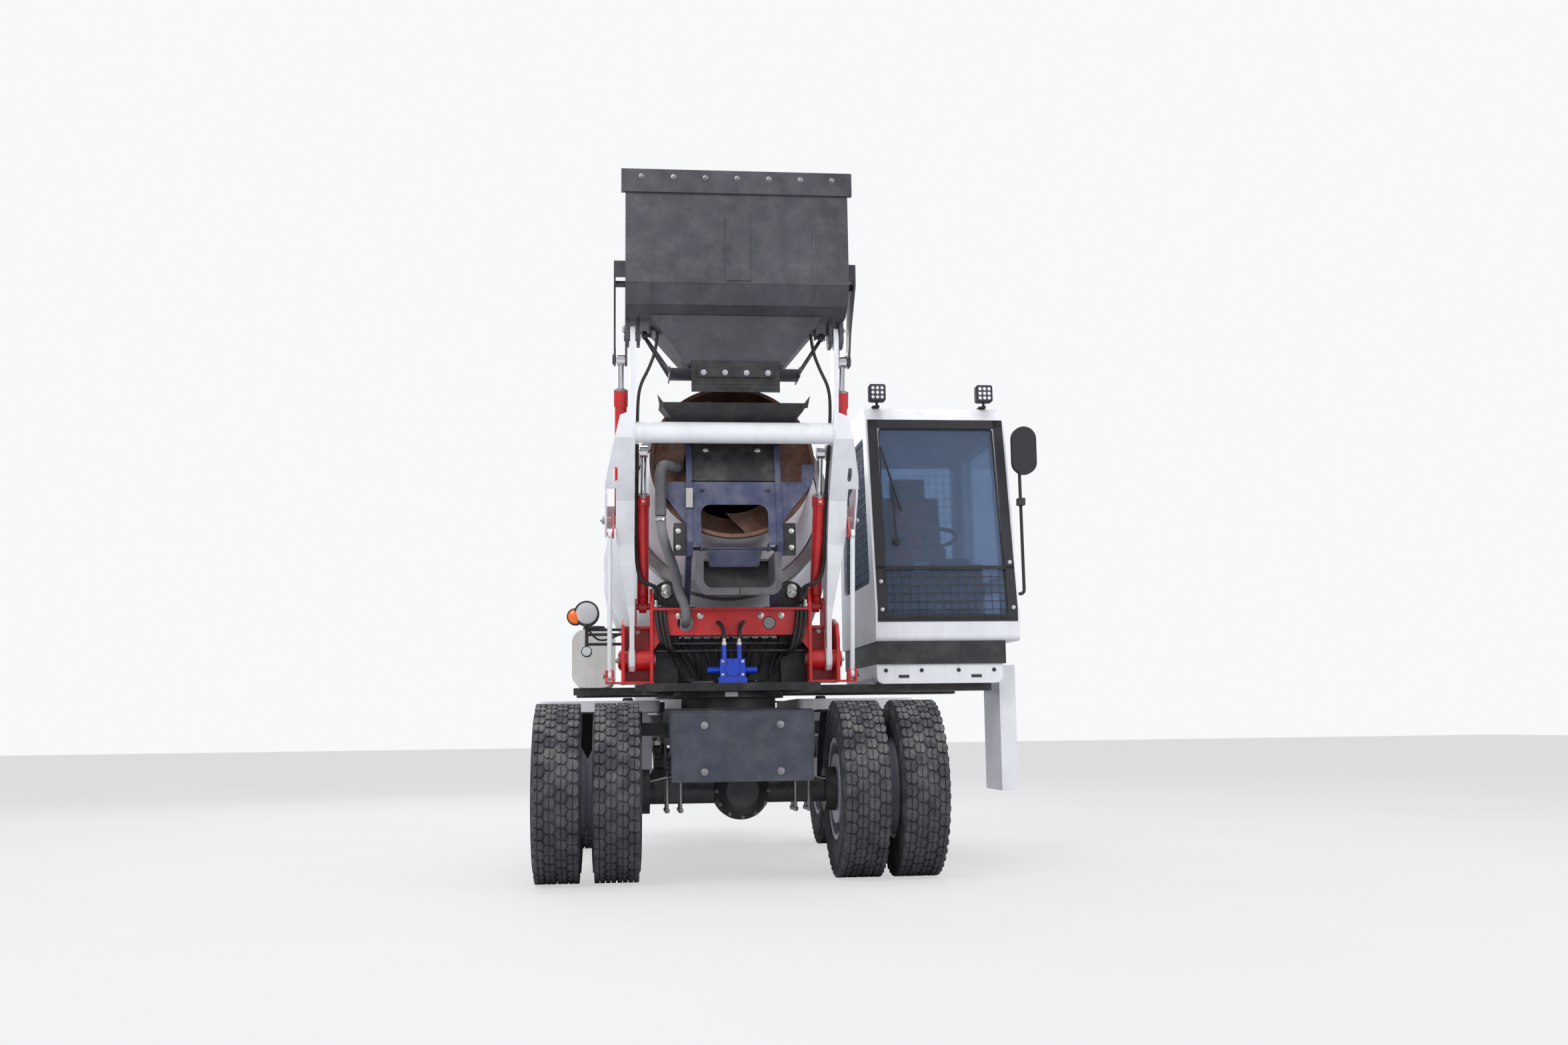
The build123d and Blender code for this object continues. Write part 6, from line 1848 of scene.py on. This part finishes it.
@dataclass
class DrumTrim:
    """Paint and weld seams outside the drum, over its bare steel, and its end's bolts."""

    shop: Workshop
    paint: float = 0.0015
    shell: tuple[tuple[float, float], ...] = (
        (0.026, 0.5014),
        (0.360, 0.520),
        (0.600, 0.600),
        (1.850, 0.800),
        (2.150, 0.800),
        (2.900, 0.430),
    )

    def build(self) -> None:
        """Builds the drum's trim."""
        axis = (0.0, math.cos(DRUM_TILT), -math.sin(DRUM_TILT))
        seams = []
        for along, radius in ((0.92, 0.652), (1.85, 0.801), (2.15, 0.801)):
            seams.append(ring(drum_place(0, 0, along), radius + 0.001, 0.005, axis, 96))
        self.shop.fit(joined(seams), "drum_seams", Coat.WHITE, "mixing_drum")
        skin = []
        for lift in (self.paint, 0.0004):
            line = [(along, radius + lift) for along, radius in self.shell]
            line += [(self.shell[-1][0] + lift, self.shell[-1][1] + lift), (self.shell[-1][0] + lift, 0.0)]
            skin.append(line)
        outside = turned(skin[0] + skin[1][::-1], drum_place(0, 0, 0), axis, 96)
        self.shop.fit(outside, "drum_paint", Coat.WHITE, "mixing_drum")
        heads = []
        for index in range(16):
            turn = 2 * math.pi * index / 16
            spot = drum_place(0.36 * math.cos(turn), 0.36 * math.sin(turn), 2.9005)
            heads.append(spot)
        self.shop.fit(bolt_heads(heads, axis, 0.013), "drum_end_bolts", Coat.STEEL, "mixing_drum")


@dataclass
class RearTrim:
    """Latches, lamps and straps behind."""

    shop: Workshop

    def build(self) -> None:
        """Builds the rear's trim."""
        latches = []
        for x in (-0.3, 0.3):
            latches.append(block((x - 0.02, 3.392, 1.53), (x + 0.02, 3.401, 1.60), 0.003))
        self.shop.fit(joined(latches), "hood_latches", Coat.PLASTIC, "hood_lid")
        straps = []
        for y in (1.40, 1.95):
            straps.append(block((-1.0135, y, 1.30), (-1.009, y + 0.04, 1.48), 0.001))
            straps.append(block((-0.93, y, 1.559), (-0.80, y + 0.04, 1.5635), 0.001))
        self.shop.fit(joined(straps), "tank_straps", Coat.ZINC, "upper")
        lid = turned(
            [(0.0, 0.0), (0.0, 0.075), (0.022, 0.075), (0.028, 0.068), (0.028, 0.0)],
            (-0.865, 1.30, 1.559),
            (0, 0, 1),
            36,
        )
        self.shop.fit(lid, "tank_lid", Coat.PLASTIC, "upper")
        lamps = []
        for x in (-0.47, 0.47):
            lamps.append(block((x - 0.06, 4.3295, 1.06), (x + 0.06, 4.339, 1.12), 0.004))
        self.shop.fit(joined(lamps), "tail_lamps", Coat.AMBER, "chassis")
        heads = []
        for side in (-1, 1):
            for y in (-0.10, 0.02, 0.14):
                heads.append((side * 0.4155, y + 3.0, 0.90))
        marks = []
        for x, y, z in heads:
            marks.append(bolt_heads([(x, y, z)], (1 if x > 0 else -1, 0, 0), 0.014))
        self.shop.fit(joined(marks), "rail_bolts", Coat.STEEL, "chassis")


@dataclass
class Coats:
    """Which finish each CAD node takes."""

    shop: Workshop
    table: dict[Coat, tuple[str, ...]] = field(
        default_factory=lambda: {
            Coat.WHITE: (
                "side_tanks", "engine_housing", "engine_lid", "arms", "level_links",
                "cab_shell", "cab_door", "cab_locker", "ladder",
            ),
            Coat.RED: ("front_frame", "rockers", "lift_barrels", "tilt_barrels"),
            Coat.CHROME: ("lift_rods", "tilt_rods"),
            Coat.CHARCOAL: ("bucket", "gate"),
            Coat.BLACK: (
                "front_axle", "rear_axle", "knuckle_right", "knuckle_left", "tie_rod", "chassis_frame",
                "deck", "drum_supports", "feed_hopper", "cab_base",
            ),
            Coat.SPRING: ("leaf_springs", "slew_ring_fixed"),
            Coat.STEEL: ("drum_ring",),
            Coat.RUST: ("drum",),
            Coat.SLATE: ("front_box",),
            Coat.HOPPER: ("discharge_hopper",),
            Coat.CHUTE: ("swing_chute", "water_pipe"),
            Coat.PLASTIC: ("tank_caps", "mudguards", "cab_controls", "roof_lamps", "mirror", "head_lamp"),
            Coat.CAST: ("engine_block",),
            Coat.RUBBER: ("bucket_flap",),
            Coat.TANK: ("water_tank",),
            Coat.VALVE: ("control_valve",),
            Coat.GLASS: ("cab_glass", "door_glass"),
            Coat.SEAT: ("cab_seat",),
            Coat.HOSE: ("water_hose",),
        }
    )

    def build(self) -> None:
        """Coats every CAD node."""
        for coat, names in self.table.items():
            for name in names:
                self.shop.coat_node(name, coat)


def main() -> None:
    """Builds the dressed machine and its studio."""
    logging.basicConfig(level=logging.INFO, format="%(name)s %(message)s")
    random.seed(SEED)
    shop = Workshop(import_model())
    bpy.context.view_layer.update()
    Coats(shop).build()
    for group in GROUPS:
        group(shop).build()
    Studio().build()
    LOG.info("%d pieces fitted", shop.made)


GROUPS = (Wheels, BucketTrim, ArmTrim, MouthTrim, FrontTrim, CabTrim, HeadLamp, DrumTrim, RearTrim)


if __name__ == "__main__":
    main()
